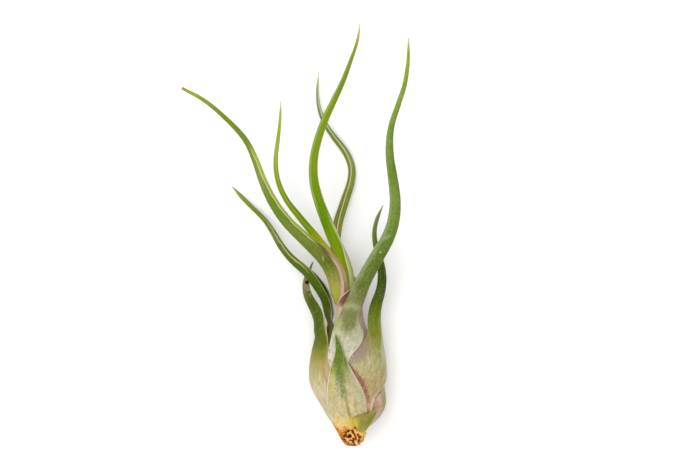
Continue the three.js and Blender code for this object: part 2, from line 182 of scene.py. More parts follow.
def leafStations(leaf):
    # even stations on a smooth curve through the leaf's rows: x, y, z, radius, face and
    # half width. On the bulb they stay on the sheath's own layer.
    layer = leaf["layer"]
    base = leaf.get("base", claspY(layer))
    onBulb = np.array([(base, *leaf["sheath"][0]), *leaf["sheath"][1:]], float)
    y, face, wrap = onBulb.T
    height = 0 * y + bulb["axisHeight"]
    sheath = np.stack([axisX(y), y, height, layerRadius(layer, y), face, wrap], axis=1)
    rows = np.concatenate([sheath, np.array(leaf["blade"], float).reshape(-1, 6)])
    rows[:, 5] = rows[:, 3] * np.radians(rows[:, 5])
    knots = np.concatenate([[0], np.cumsum(np.linalg.norm(np.diff(rows[:, :3], axis=0), axis=1))])
    slopes = np.empty_like(rows)
    slopes[1:-1] = (rows[2:] - rows[:-2]) / (knots[2:] - knots[:-2])[:, None]
    slopes[0] = (rows[1] - rows[0]) / (knots[1] - knots[0])
    slopes[-1] = (rows[-1] - rows[-2]) / (knots[-1] - knots[-2])
    count = int(knots[-1] / leafBuild["spacing"])
    along = np.linspace(0, knots[-1], count + 1)
    k = np.clip(np.searchsorted(knots, along, side="right") - 1, 0, len(rows) - 2)
    span = (knots[k + 1] - knots[k])[:, None]
    t = (along - knots[k])[:, None] / span
    stations = ((2 * t ** 3 - 3 * t ** 2 + 1) * rows[k] + (t ** 3 - 2 * t ** 2 + t) * slopes[k] * span
                + (3 * t ** 2 - 2 * t ** 3) * rows[k + 1] + (t ** 3 - t ** 2) * slopes[k + 1] * span)
    lying = along <= knots[len(onBulb) - 1]
    stations[lying, 0] = axisX(stations[lying, 1])
    stations[lying, 2] = bulb["axisHeight"]
    stations[lying, 3] = layerRadius(layer, stations[lying, 1])
    if leaf["blade"]:
        stations = evenOut(stations, along[1], leafBuild["evenOut"])
    return along, stations


def marginWander(leaf, along, radius, u):
    # a broad sheath's margins wander a little, each in its own way
    broad = np.clip(radius / leafBuild["waveRadius"], 0, 1) ** leafBuild["wavePower"]
    wander = []
    for side in (-1, 1):
        seeds = leaf["layer"] * leafBuild["layerSeed"], side * leafBuild["sideSeed"]
        waves = [noise.noise(Vector((s / leafBuild["waveLength"], *seeds))) for s in along]
        wander.append((leafBuild["marginWave"] * broad * np.array(waves))[:, None])
    return np.where(u < 0, *wander) * np.abs(u) ** leafBuild["waveReach"]


def wallThickness(along, size, margin):
    # thinner at the margins, at the base and where the leaf is rolled tight
    thick = np.minimum(leafBuild["thickness"], size * (1 - leafBuild["hollow"]))
    thin = leafBuild["marginThickness"] / leafBuild["thickness"]
    reach = np.minimum(leafBuild["marginTaper"], size * leafBuild["taperShare"])
    taper = thin + (1 - thin) * smoothStep(margin, 0, reach)
    base = leafBuild["baseThickness"]
    return thick * taper * (base + (1 - base) * smoothStep(along, 0, leafBuild["baseTaper"])[:, None])


def leafSurface(leaf):
    # rings of points round the closed section: outside, one margin, inside, other margin
    along, stations = leafStations(leaf)
    centre, radius, face = stations[:, :3], stations[:, 3], np.radians(stations[:, 4])
    wrap = stations[:, 5] / radius
    total = along[-1]
    if leaf["finePoint"]:
        drawn = smoothStep(along, total - leafBuild["tipLength"], total)
        radius = radius * (1 - (1 - leafBuild["tipRadius"]) * drawn)
    outward = np.stack([np.sin(face), 0 * face, np.cos(face)], axis=1)
    middle = centre + outward * (radius * np.sin(wrap) / wrap)[:, None]
    path = evenOut(middle, along[1], leafBuild["tangentReach"]) if leaf["blade"] else middle
    tangent = unit(np.gradient(path, axis=0))
    y, squareTo = centre[:, 1:2], leaf["squareTo"]
    turned = smoothStep(y, squareTo, squareTo + leafBuild["turnLength"])
    normal = unit(bulbNormal(centre[:, 1]) * (1 - turned) + tangent * turned)
    outward = unit(outward - normal * np.sum(outward * normal, axis=1, keepdims=True))
    sideways = np.cross(normal, outward)

    u = np.linspace(-1, 1, leafBuild["strips"] + 1)[None, :]     # -1 and 1 are the margins
    size = radius[:, None]
    angle = (wrap[:, None] * size * u + np.sign(u) * marginWander(leaf, along, radius, u)) / size
    across = angle * size
    fromLeft, fromRight = across - across[:, :1], across[:, -1:] - across
    margin = np.minimum(fromLeft, fromRight)
    thick = wallThickness(along, size, margin)

    def place(reach, turn):
        ray = np.cos(turn)[..., None] * outward[:, None] + np.sin(turn)[..., None] * sideways[:, None]
        return centre[:, None] + reach[..., None] * ray

    veins = leafBuild["veinHeight"] * np.cos(math.pi * leafBuild["veins"] * u)
    veins = veins * smoothStep(margin, *leafBuild["veinRise"]) * np.minimum(size / leafBuild["veinRadius"], 1)
    reach = size + veins + lumpField(place(size + 0 * u, angle))
    fade = leafBuild["hugFade"]
    for mark in leaf["hugs"]:
        near = fromLeft if mark["side"] < 0 else fromRight
        start, end = mark["y"]
        run = smoothStep(y, start - fade, start + fade) * (1 - smoothStep(y, end - fade, end + fade))
        reach = reach - mark["depth"] * run * (1 - smoothStep(near, 0, mark["width"]))
    outside = place(reach, angle)
    inside = place(reach - thick, angle)
    outside[..., 2] = np.maximum(outside[..., 2], 0)             # nothing dips under the floor
    inside[..., 2] = np.maximum(inside[..., 2], thick)
    rims = []
    for k in (-1, 0):
        bulge = np.sign(u[0, k]) * thick[:, k] * leafBuild["marginBulge"] / radius
        rims.append(place((reach - thick / 2)[:, k][:, None], (angle[:, k] + bulge)[:, None]))
    points = np.concatenate([outside, rims[0], inside[:, ::-1], rims[1], outside[:, :1]], axis=1)

    def ring(outer, rim, inner):
        # one value for each point of a ring
        rim = np.broadcast_to(np.asarray(rim, float), (len(along), 1))
        return np.concatenate([outer, rim, inner[:, ::-1], rim, outer[:, :1]], axis=1)

    zero = np.zeros_like(margin)
    whole, station = along[:, None] + zero, along[:, None]
    nearest = np.maximum(margin, 0)
    leafMap = [ring(across, 0, across), ring(whole, station, whole), ring(nearest, 0, nearest)]
    share = [ring(u + zero, 0, u + zero), ring(whole / total, station / total, whole / total),
             ring(zero, 0.5, zero + 1)]
    return points * mm, np.stack(leafMap, axis=-1), np.stack(share, axis=-1)


def gridPiece(name, points, attributes):
    # a grid from the Add menu, rolled into place row by row, its seam and ends closed
    rows, columns = points.shape[:2]
    deselectAll()
    bpy.ops.mesh.primitive_grid_add(x_subdivisions=columns - 1, y_subdivisions=rows - 1, size=2)
    piece = bpy.context.object
    piece.name = name
    piece.data.name = name
    flat = np.empty(len(piece.data.vertices) * 3)
    piece.data.vertices.foreach_get("co", flat)
    flat = flat.reshape(-1, 3)
    column = np.rint((flat[:, 0] + 1) / 2 * (columns - 1)).astype(int)
    row = np.rint((flat[:, 1] + 1) / 2 * (rows - 1)).astype(int)
    piece.data.vertices.foreach_set("co", points[row, column].ravel())
    for key, values in attributes.items():
        attribute = piece.data.attributes.new(key, "FLOAT_VECTOR", "POINT")
        attribute.data.foreach_set("vector", values[row, column].ravel())
    bpy.ops.object.mode_set(mode="EDIT")
    bpy.ops.mesh.select_all(action="SELECT")
    bpy.ops.mesh.remove_doubles(threshold=leafBuild["weld"] * mm)
    bpy.ops.mesh.normals_make_consistent(inside=False)
    bpy.ops.object.mode_set(mode="OBJECT")
    bpy.ops.object.shade_smooth()
    piece.select_set(False)
    return piece


def finishPiece(piece, node, material):
    piece.data.materials.clear()
    piece.data.materials.append(material)
    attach(piece, "root")
    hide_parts(node)


# Skin of a leaf: sizes of its patterns, in mm where nothing else is said
leafGrain = {
    "slow": 9, "blotch": 3, "grain": 0.8,              # across one feature
    "mottle": 1.5, "mottleStretch": 0.45,              # a stretch squeezes the map along the leaf
    "wideStreak": 2.4, "fineStreak": 0.55, "streakStretch": 0.07,
    "noiseDetail": 3.0, "noiseRoughness": 0.6,
    "insideShift": 9.0,                                # so the inside has marks of its own
    "scale": 0.5,                                      # a real scale is 0.3 and would not show
    "wander": (6, 9),                                  # blotches and streaks push the colours along
    "stripeSway": 0.25, "stripeCore": 0.25,            # shares of the half width and of the stripe
    "patchStreaks": 0.5, "patchMottle": 0.7,           # a patch's border frays by these shares
    "bandStreaks": 0.8, "bandFade": 3,
}
# Where a pattern starts to show, and where it shows in full
leafMasks = {
    "streakDark": (0.5, 0.72), "streakLight": (0.48, 0.28), "inside": (0.2, 0.8),
    "mottleLight": (0.5, 0.68), "mottleDark": (0.5, 0.34),
    "feltGrain": (0.42, 0.68), "feltBlotch": (0.3, 0.62),
    "scaleDisc": (0.36, 0.12), "scaleChance": (0.4, 0.7), "scaleField": (0.3, 0.65),
    "bandSide": (-0.05, 0.1), "rimWidth": (1.5, 0.5), "rimSide": (0.7, 0.86),
}
leafFinish = {
    "saturation": 1.08, "value": 0.84,                 # living tissue under the bright light
    "lightStreaks": 0.8,                               # share of the dark ones' strength
    "scaleColour": "#e2dec6", "tipAmount": 0.85,
    "scaleBump": (0.35, 0.06), "streakBump": (0.5, 0.15),      # strength, height
    "feltRoughness": 0.8, "ior": 1.42,
    "subsurface": 0.05, "subsurfaceRadius": (1.0, 0.9, 0.2), "subsurfaceDepth": 0.5,
}


def leafReadings(tree):
    # what the patterns read: the place in mm, the leaf's own maps, and noises
    place = addNode(tree, "ShaderNodeTexCoord", output="Object")
    place = addNode(tree, "ShaderNodeVectorMath", {0: place, "Scale": 1 / mm}, operation="SCALE")
    leafMap = addNode(tree, "ShaderNodeAttribute", output="Vector", attribute_name="leafMap")
    share = addNode(tree, "ShaderNodeAttribute", output="Vector", attribute_name="share")
    across, along, margin = addNode(tree, "ShaderNodeSeparateXYZ", {0: leafMap}).node.outputs
    u, v, inner = addNode(tree, "ShaderNodeSeparateXYZ", {0: share}).node.outputs
    reads = {"place": place, "y": addNode(tree, "ShaderNodeSeparateXYZ", {0: place}, 1),
             "margin": margin, "u": u, "v": v, "inner": inner}
    side = addNode(tree, "ShaderNodeMath", {0: inner, 1: leafGrain["insideShift"]}, operation="MULTIPLY")
    maps = {"slow": place, "blotch": place, "grain": place}
    stretches = {"mottle": "mottleStretch", "wideStreak": "streakStretch", "fineStreak": "streakStretch"}
    for key, stretch in stretches.items():      # patterns that run the length of the leaf
        squeezed = addNode(tree, "ShaderNodeMath", {0: along, 1: leafGrain[stretch]}, operation="MULTIPLY")
        maps[key] = addNode(tree, "ShaderNodeCombineXYZ", {0: across, 1: squeezed, 2: side})
    for key, vector in maps.items():
        reads[key] = addNode(tree, "ShaderNodeTexNoise", {
            "Vector": vector, "Scale": 1 / leafGrain[key],
            "Detail": leafGrain["noiseDetail"], "Roughness": leafGrain["noiseRoughness"]})
    return reads


def colourAlong(tree, reads, stops):
    # colour along the leaf, from stops of (y, colour), their borders made ragged
    low, high = stops[0][0], stops[-1][0]
    byBlotch, byStreak = leafGrain["wander"]
    middle = (byBlotch + byStreak) / 2
    ragged = addNode(tree, "ShaderNodeMath", {0: reads["blotch"], 1: byBlotch, 2: reads["y"]},
                     operation="MULTIPLY_ADD")
    ragged = addNode(tree, "ShaderNodeMath", {0: reads["wideStreak"], 1: byStreak, 2: ragged},
                     operation="MULTIPLY_ADD")
    position = addNode(tree, "ShaderNodeMapRange", {0: ragged, 1: low + middle, 2: high + middle})
    colour = addNode(tree, "ShaderNodeValToRGB", {0: position})
    fillRamp(colour.node.color_ramp, [((y - low) / (high - low), text) for y, text in stops])
    return colour


def between(reading, start, end, fade):
    # masks that open at the start and close at the end
    return [(reading, start - fade, start + fade), (reading, end + fade, end - fade)]


# The functions below give layers: (name, colour, amount, masks), where a mask is
# (what it reads, where it is 0, where it is 1). They are laid on in turn.

def stripeLayers(tree, reads, stripes):
    sway = addNode(tree, "ShaderNodeMath", {0: reads["blotch"], 1: leafGrain["stripeSway"], 2: reads["u"]},
                   operation="MULTIPLY_ADD")
    layers = []
    for mark in stripes:
        centre = mark["at"] + leafGrain["stripeSway"] / 2
        away = addNode(tree, "ShaderNodeMath", {0: sway, 1: centre}, operation="SUBTRACT")
        away = addNode(tree, "ShaderNodeMath", {0: away}, operation="ABSOLUTE")
        masks = [(away, mark["width"], mark["width"] * leafGrain["stripeCore"])]
        masks += between(reads["y"], *mark["y"], mark["fade"])
        layers.append(("stripe", mark["colour"], mark["amount"], masks))
    return layers


def patchLayers(tree, reads, patches):
    # an ellipse about a point on the leaf, its border drawn out in streaks
    byStreak, byMottle = leafGrain["patchStreaks"], leafGrain["patchMottle"]
    border = addNode(tree, "ShaderNodeMath", {0: reads["fineStreak"], 1: byStreak, 2: -byStreak / 2},
                     operation="MULTIPLY_ADD")
    border = addNode(tree, "ShaderNodeMath", {0: reads["mottle"], 1: byMottle, 2: border},
                     operation="MULTIPLY_ADD")
    edge = 1 + byMottle / 2
    layers = []
    for mark in patches:
        away = addNode(tree, "ShaderNodeVectorMath", {0: reads["place"], 1: mark["at"]}, operation="SUBTRACT")
        away = addNode(tree, "ShaderNodeVectorRotate", {"Vector": away, "Angle": -math.radians(mark["turn"])},
                       rotation_type="Z_AXIS")
        away = addNode(tree, "ShaderNodeVectorMath", {0: away, 1: mark["size"]}, operation="DIVIDE")
        away = addNode(tree, "ShaderNodeVectorMath", {0: away}, "Value", operation="LENGTH")
        away = addNode(tree, "ShaderNodeMath", {0: away, 1: border}, operation="ADD")
        masks = [(away, edge + mark["soft"], edge - mark["soft"])]
        layers.append(("patch", mark["colour"], mark["amount"], masks))
    return layers


def bandLayers(tree, reads, bands):
    # bands that follow one margin or both
    byStreak = leafGrain["bandStreaks"]
    away = addNode(tree, "ShaderNodeMath", {0: reads["wideStreak"], 1: byStreak, 2: reads["margin"]},
                   operation="MULTIPLY_ADD")
    near = byStreak / 2
    layers = []
    for mark in bands:
        width, soft = mark["width"], mark["soft"]
        masks = [(away, near + width * (1 + soft), near + width * (1 - soft))]
        masks += between(reads["y"], *mark["y"], leafGrain["bandFade"])
        if mark["side"]:
            masks.append((reads["u"], *(mark["side"] * limit for limit in leafMasks["bandSide"])))
        layers.append(("band", mark["colour"], mark["amount"], masks))
    return layers


def skinLayers(tree, reads, leaf):
    def mask(reading, key):
        return (reads[reading], *leafMasks[key])

    layers = [
        ("streakDark", leaf["streakDark"], leaf["streak"], [mask("fineStreak", "streakDark")]),
        ("streakLight", leaf["streakLight"], leaf["streak"] * leafFinish["lightStreaks"],
         [mask("fineStreak", "streakLight")]),
        ("inside", leaf["inside"], leaf["insideAmount"], [mask("inner", "inside")]),
    ]
    if leaf["mottle"]:      # paler and darker flecks on the sheath, drawn out along the leaf
        amount, (low, high) = leaf["mottle"]["amount"], leaf["mottle"]["y"]
        for key, tone in (("mottleLight", "light"), ("mottleDark", "dark")):
            masks = [mask("mottle", key), (reads["y"], high, low)]
            layers.append((key, leaf["mottle"][tone], amount, masks))
    layers += stripeLayers(tree, reads, leaf["stripes"])
    layers += patchLayers(tree, reads, leaf["patches"])
    layers += bandLayers(tree, reads, leaf["bands"])
    # felt of scales, thicker on the sheath and worn off in blotches, then single scales
    worn = [mask("grain", "feltGrain"), mask("blotch", "feltBlotch")]
    onSheath = (reads["y"], leaf["scurfTo"], leaf["scurfFrom"])
    cells = addNode(tree, "ShaderNodeTexVoronoi", {"Vector": reads["place"], "Scale": 1 / leafGrain["scale"]})
    cells = cells.node.outputs
    chance = addNode(tree, "ShaderNodeSeparateColor", {0: cells["Color"]})
    layers += [("felt", leaf["scurfColour"], leaf["scurfBlade"], worn),
               ("sheathFelt", leaf["scurfColour"], leaf["scurf"], worn + [onSheath]),
               ("scales", leafFinish["scaleColour"], leaf["dots"],
                [(cells["Distance"], *leafMasks["scaleDisc"]), (chance, *leafMasks["scaleChance"]),
                 mask("slow", "scaleField")])]
    # the very margin is a thin translucent skin, so it looks cream, and the tip is dry
    halfShare = addNode(tree, "ShaderNodeMath", {0: reads["u"]}, operation="ABSOLUTE")
    rimWidth = [leaf["rim"] * limit for limit in leafMasks["rimWidth"]]
    layers += [("rim", leaf["rimColour"], leaf["rimAmount"],
                [(reads["margin"], *rimWidth), (halfShare, *leafMasks["rimSide"])]),
               ("tip", leaf["tipColour"], leafFinish["tipAmount"], [(reads["v"], leaf["tipFrom"], 1.0)])]
    return layers


def leafSkin(leaf):
    # Living leaf of an air plant: smooth green skin under a felt of tiny silver scales that
    # grew with it. The felt takes the gloss off and pales the sheath, the blade stays satin.
    material, tree = newMaterial(leaf["skin"])
    reads = leafReadings(tree)
    colour = colourAlong(tree, reads, leaf["stops"])
    amounts = {}
    for key, text, amount, masks in skinLayers(tree, reads, leaf):
        for reading, off, on in masks:
            mask = addNode(tree, "ShaderNodeMapRange", {0: reading, 1: off, 2: on},
                           interpolation_type="SMOOTHSTEP")
            amount = addNode(tree, "ShaderNodeMath", {0: amount, 1: mask}, operation="MULTIPLY")
        layer = {0: amount, 6: colour, 7: hexColour(text)}
        colour = addNode(tree, "ShaderNodeMix", layer, 2, data_type="RGBA")
        amounts[key] = amount
    colour = addNode(tree, "ShaderNodeHueSaturation", {
        "Color": colour, "Saturation": leafFinish["saturation"], "Value": leafFinish["value"]})
    strength, height = leafFinish["scaleBump"]
    bump = addNode(tree, "ShaderNodeBump", {"Height": amounts["scales"], "Strength": strength,
                                            "Distance": height * mm})
    strength, height = leafFinish["streakBump"]
    bump = addNode(tree, "ShaderNodeBump", {"Height": reads["fineStreak"], "Strength": strength,
                                            "Distance": height * mm, "Normal": bump})
    rough = addNode(tree, "ShaderNodeMapRange", {0: amounts["sheathFelt"], 3: leaf["rough"],
                                                 4: leafFinish["feltRoughness"]})
    shader = addNode(tree, "ShaderNodeBsdfPrincipled", {
        "Base Color": colour, "Roughness": rough, "Normal": bump, "IOR": leafFinish["ior"],
        "Specular IOR Level": leaf["gloss"], "Subsurface Weight": leafFinish["subsurface"],
        "Subsurface Radius": leafFinish["subsurfaceRadius"],
        "Subsurface Scale": leafFinish["subsurfaceDepth"] * mm})
    addNode(tree, "ShaderNodeOutputMaterial", {0: shader})
    return material


# Marks on a leaf. Sizes and places are in mm, y says from where to where.

def hug(side, depth, width, y):
    # a sheath's margin, left (-1) or right (1), lies down on the sheath beneath it
    return {"side": side, "depth": depth, "width": width, "y": y}


def stripe(at, width, colour, amount, y, fade=4):
    # along the leaf, placed and sized as shares of its half width from its middle
    return {"at": at, "width": width, "colour": colour, "amount": amount, "y": y, "fade": fade}


def patch(at, size, colour, amount, turn=0, soft=0.6):
    # an ellipse about a point, size gives its half axes, turned to the left in degrees
    return {"at": at, "size": size, "colour": colour, "amount": amount, "turn": turn, "soft": soft}


def band(side, width, colour, amount, y=(-40, 140), soft=0.5):
    # along the left (-1) or right (1) margin, or along both (0)
    return {"side": side, "width": width, "colour": colour, "amount": amount, "y": y, "soft": soft}


# What a leaf has where its own dictionary says nothing else
usualLeaf = {
    "finePoint": True, "hugs": [], "mottle": None, "stripes": [], "patches": [], "bands": [],
    "insideAmount": 0.75, "scurfColour": "#dcd7bc", "scurfFrom": 0, "scurfTo": 30, "rimAmount": 0.6,
    "gloss": 0.08,
}


def makeLeaf(ownLeaf):
    leaf = {**usualLeaf, **ownLeaf}
    points, leafMap, share = leafSurface(leaf)
    piece = gridPiece(leaf["piece"], points, {"leafMap": leafMap, "share": share})
    finishPiece(piece, leaf["node"], leafSkin(leaf))
    print("made", leaf["piece"], len(piece.data.polygons), "faces")


# The leaves, each with its route, its colours and its marks.
# sheath: rows of (y, face, wrap) on the bulb, the first one at the base, without its y.
# blade: rows of (x, y, z, radius, face, wrap). Face is the compass angle of the outer
# side about +Y, 0 up and 90 to +X, and wrap is the half angle of the arc.
# squareTo: y up to which a section stays square to the bulb and not to its own route.
# stops: (y, colour). Scurf is the felt of scales, on the sheath between scurfFrom and
# scurfTo and on the whole blade, and dots are single scales.

# small yellow-green bract at the lower right, outside all the sheaths
baseBract = {
    "piece": "baseBract", "node": "bract_base", "slot": "bract", "skin": "youngBractSkin", "layer": 3,
    "base": -24.8, "squareTo": -14, "finePoint": False,
    "sheath": [
        (29, 11), (-23.8, 22, 17), (-22.8, 16.5, 20.5), (-21.6, 15.5, 20.5), (-20.2, 15, 20),
        (-19, 20, 14), (-17.8, 24.5, 8.5), (-16.3, 28, 4), (-14.8, 30, 1.2),
    ],
    "blade": [],
    "hugs": [hug(1, 0.8, 4, (-30, -18)), hug(-1, 0.5, 3, (-30, -18))],
    "stops": [
        (-25, "#c2c048"), (-22, "#a8a24a"), (-19.5, "#988a3e"), (-17.5, "#8a8236"), (-14.5, "#9c943c"),
    ],
    "streak": 0.25, "streakDark": "#6f6c28", "streakLight": "#bfb865", "inside": "#9aa84a",
    "patches": [
        patch((2.5, -18.8, 22), (1.7, 2.4, 12), "#d2c656", 0.85, soft=0.7),
        patch((5.9, -16.9, 24), (1.8, 1, 12), "#ab8f50", 0.7, turn=14),
        patch((8.9, -17, 22), (0.9, 3.2, 12), "#748c2a", 0.85, turn=-40, soft=0.7),
        patch((3.4, -22.6, 22), (0.8, 2.2, 12), "#7e7a26", 0.7, turn=24),
    ],
    "bands": [band(-1, 0.4, "#d2a860", 0.5, y=(-21, 0))],
    "scurf": 0.1, "scurfBlade": 0.05, "dots": 0.1, "rim": 0.15, "rimColour": "#d0a860", "tipFrom": 0.97,
    "tipColour": "#5f8a1e", "rough": 0.48,
}
makeLeaf(baseBract)

# short leaf lying on the bulb, pale mottled sheath and green tip
shortFrontLeaf = {
    "piece": "shortFrontLeaf", "node": "leaf_short_front", "slot": "leaf_pale_sheath",
    "skin": "paleSheathSkin", "layer": 2, "base": -22.9, "squareTo": 20, "finePoint": False,
    "sheath": [
        (-16, 44), (-20, -15, 37.5), (-15.5, -13.5, 33), (-12, -12, 30.5), (-8, -7.5, 27.8), (-5, -6, 24),
        (-2.7, -6.6, 20.6), (-0.5, -8, 17), (3.2, -9.8, 11.8), (6.2, -11, 7.2), (9, -12, 5),
        (12, -15, 3.4),
    ],
    "blade": [(0, 14.7, 13.4, 13.75, -19.5, 1)],
    "hugs": [hug(1, 1, 5, (-19, 2)), hug(-1, 0.7, 4, (-19, 0))],
    "stops": [
        (-23, "#e0a458"), (-20.5, "#e8c48c"), (-17, "#e0cf98"), (-13, "#cdb988"), (-8, "#bdae84"),
        (-3, "#b4ac7c"), (1, "#959a5c"), (4, "#6c7c30"), (8, "#5c7428"), (12, "#4f7022"), (15, "#647a34"),
    ],
    "streak": 0.25, "streakDark": "#8f8a4c", "streakLight": "#d6cba6", "inside": "#cbbf9a",
    "mottle": {"light": "#dfd6ba", "dark": "#9f9460", "amount": 0.65, "y": (-4, 6)},
    "patches": [
        patch((-2.9, -1.2, 29), (1.7, 7, 20), "#647630", 0.9, turn=8, soft=0.5),
        patch((-1.2, -5.5, 29), (0.9, 3.4, 20), "#868a4c", 0.6, turn=14, soft=0.7),
        patch((-3.2, -6.5, 29), (0.6, 4.2, 20), "#d2d0b0", 0.35, turn=6, soft=0.7),
        patch((0.5, -15, 29), (0.55, 6, 20), "#9c8434", 0.85, turn=13, soft=0.4),
        patch((-6, -4.5, 27), (1.1, 6.5, 20), "#bcb262", 0.55, turn=-7),
        patch((4.2, -5, 27), (2.2, 9, 20), "#b9b596", 0.6, turn=20),
        patch((-2.4, -18.5, 27), (3, 2, 20), "#e6cc82", 0.7),
        patch((0.8, -18.4, 25), (1.8, 2.2, 20), "#dccb58", 0.75, turn=-20),
        patch((-4.2, -20.6, 27), (2.6, 1.1, 20), "#e09a4c", 0.8, turn=-30),
    ],
    "bands": [
        band(-1, 0.3, "#eae2cc", 0.75, y=(-18, 3), soft=0.6),
        band(1, 0.35, "#d8ceae", 0.5, y=(-18, 3), soft=0.7),
        band(-1, 0.8, "#c4701e", 0.8, y=(-26, -20), soft=0.7),
    ],
    "scurf": 0.5, "scurfBlade": 0.04, "scurfFrom": -5, "scurfTo": 5, "dots": 0.6, "rim": 0.12,
    "rimColour": "#e6dcc0", "rimAmount": 0.45, "tipFrom": 0.985, "tipColour": "#c9c26a", "rough": 0.58,
}
makeLeaf(shortFrontLeaf)

# large frosted leaf that crosses in front and runs up to the right
frontLeaf = {
    "piece": "frontLeaf", "node": "leaf_front", "slot": "leaf_sage", "skin": "frostedLeafSkin",
    "layer": 1, "base": -22.4, "squareTo": 9.4,
    "sheath": [
        (-16.5, 38), (-18, -12.5, 29.5), (-9, -8.8, 21.2), (-1, -9, 13), (3, -13.2, 12.4), (5, -15, 15),
        (7.1, -14, 18.2), (9.4, -8.8, 22.8),
    ],
    "blade": [
        (-0.2, 13, 16.1, 9.5, 0, 40.5), (0.2, 15.4, 17.2, 7.5, 3, 50), (-0.1, 17.8, 18.5, 5.6, 1, 60),
        (0.5, 20.6, 19.6, 4.3, 0, 69), (1.3, 23.6, 20.6, 3.55, 0, 76), (2.8, 27.2, 22.3, 3.25, 4, 88),
        (4.2, 30.6, 24.4, 3, 8, 102), (5.3, 33.6, 26.4, 2.9, 10, 110), (8.2, 39.3, 29.4, 2.75, 10, 115),
        (11.6, 45.2, 32.4, 2.6, 8, 118), (14.7, 50.7, 35, 2.4, 4, 120), (16.8, 57.3, 37.6, 2.2, 0, 120),
        (17.3, 64.8, 39.6, 2, -5, 120), (16.4, 72.4, 40.6, 1.8, -10, 120),
        (15.2, 81.6, 40.6, 1.5, -10, 120), (15.7, 90.8, 40, 1.2, -5, 120), (18.6, 100, 39, 1, 0, 120),
        (20.9, 107.2, 38, 0.85, 0, 120), (22.1, 116, 37.4, 0.65, 0, 120), (22.2, 124, 37.4, 0.45, 0, 120),
    ],
    "hugs": [hug(1, 0.6, 5, (-10, 15)), hug(-1, 0.7, 5, (-10, 12))],
    "stops": [
        (-22, "#d8cda4"), (3, "#dcd5c0"), (8, "#d0cbb2"), (13, "#c2c0a2"), (17, "#a3a272"),
        (19.5, "#8a8a50"), (24, "#84864e"), (28, "#727a3c"), (38, "#5b6e28"), (46, "#62782e"),
        (56, "#6e8438"), (66, "#728838"), (76, "#66812e"), (90, "#76903a"), (102, "#829a42"),
        (112, "#8aa232"), (119, "#9aaa34"), (124, "#beb654"),
    ],
    "streak": 0.22, "streakDark": "#56692c", "streakLight": "#9aa672", "inside": "#b9bf98",
    "mottle": {"light": "#e6e1d0", "dark": "#8c8e62", "amount": 0.6, "y": (14, 30)},
    # paler stripes near both edges of the blade are painted sheen; the right one also carries the leaf's own
    # pink
    "stripes": [
        stripe(-0.5, 0.3, "#a9b08a", 0.4, (30, 100)), stripe(-0.74, 0.16, "#c4c6a6", 0.6, (30, 116)),
        stripe(0.76, 0.13, "#cbab92", 0.6, (30, 116)),
    ],
    "patches": [
        patch((0.3, 19.8, 26), (5.4, 6.6, 20), "#b6b690", 0.45, turn=-12, soft=0.4),
        patch((0.6, 24.8, 26), (3.8, 1.1, 20), "#b8b89a", 0.6, turn=-8, soft=0.8),
        patch((0.3, 20.2, 26), (3.6, 4.7, 20), "#70763c", 0.9, turn=-12, soft=0.5),
        patch((4.2, 33.4, 28), (1.8, 2, 20), "#59662a", 0.6, turn=-30),
        patch((1.6, 35, 28), (1.4, 2.2, 20), "#b4b898", 0.4, turn=-30),
        patch((12, 45.4, 35), (0.3, 0.3, 6), "#dcdcc8", 0.6),
        patch((14.1, 50.8, 35), (1.5, 0.7, 12), "#9fac7c", 0.5, turn=30),
        patch((-3.6, 17.5, 26), (1, 3.4, 20), "#b4b684", 0.6, turn=-20),
        patch((4.6, 16, 26), (1.2, 4.5, 20), "#cfc8b2", 0.6, turn=10),
    ],
    "bands": [
        band(-1, 0.25, "#dcd8c0", 0.7, y=(20, 60)), band(1, 0.35, "#c2a088", 0.45, y=(26, 60)),
        band(1, 0.3, "#e8dcc8", 0.7, y=(3, 17)),
    ],
    "scurf": 0.55, "scurfBlade": 0.12, "scurfFrom": 8, "scurfTo": 22, "scurfColour": "#dddccb",
    "dots": 0.4, "rim": 0.18, "rimColour": "#e0d8bc", "tipFrom": 0.98, "tipColour": "#cfc47e",
    "rough": 0.58,
}
makeLeaf(frontLeaf)

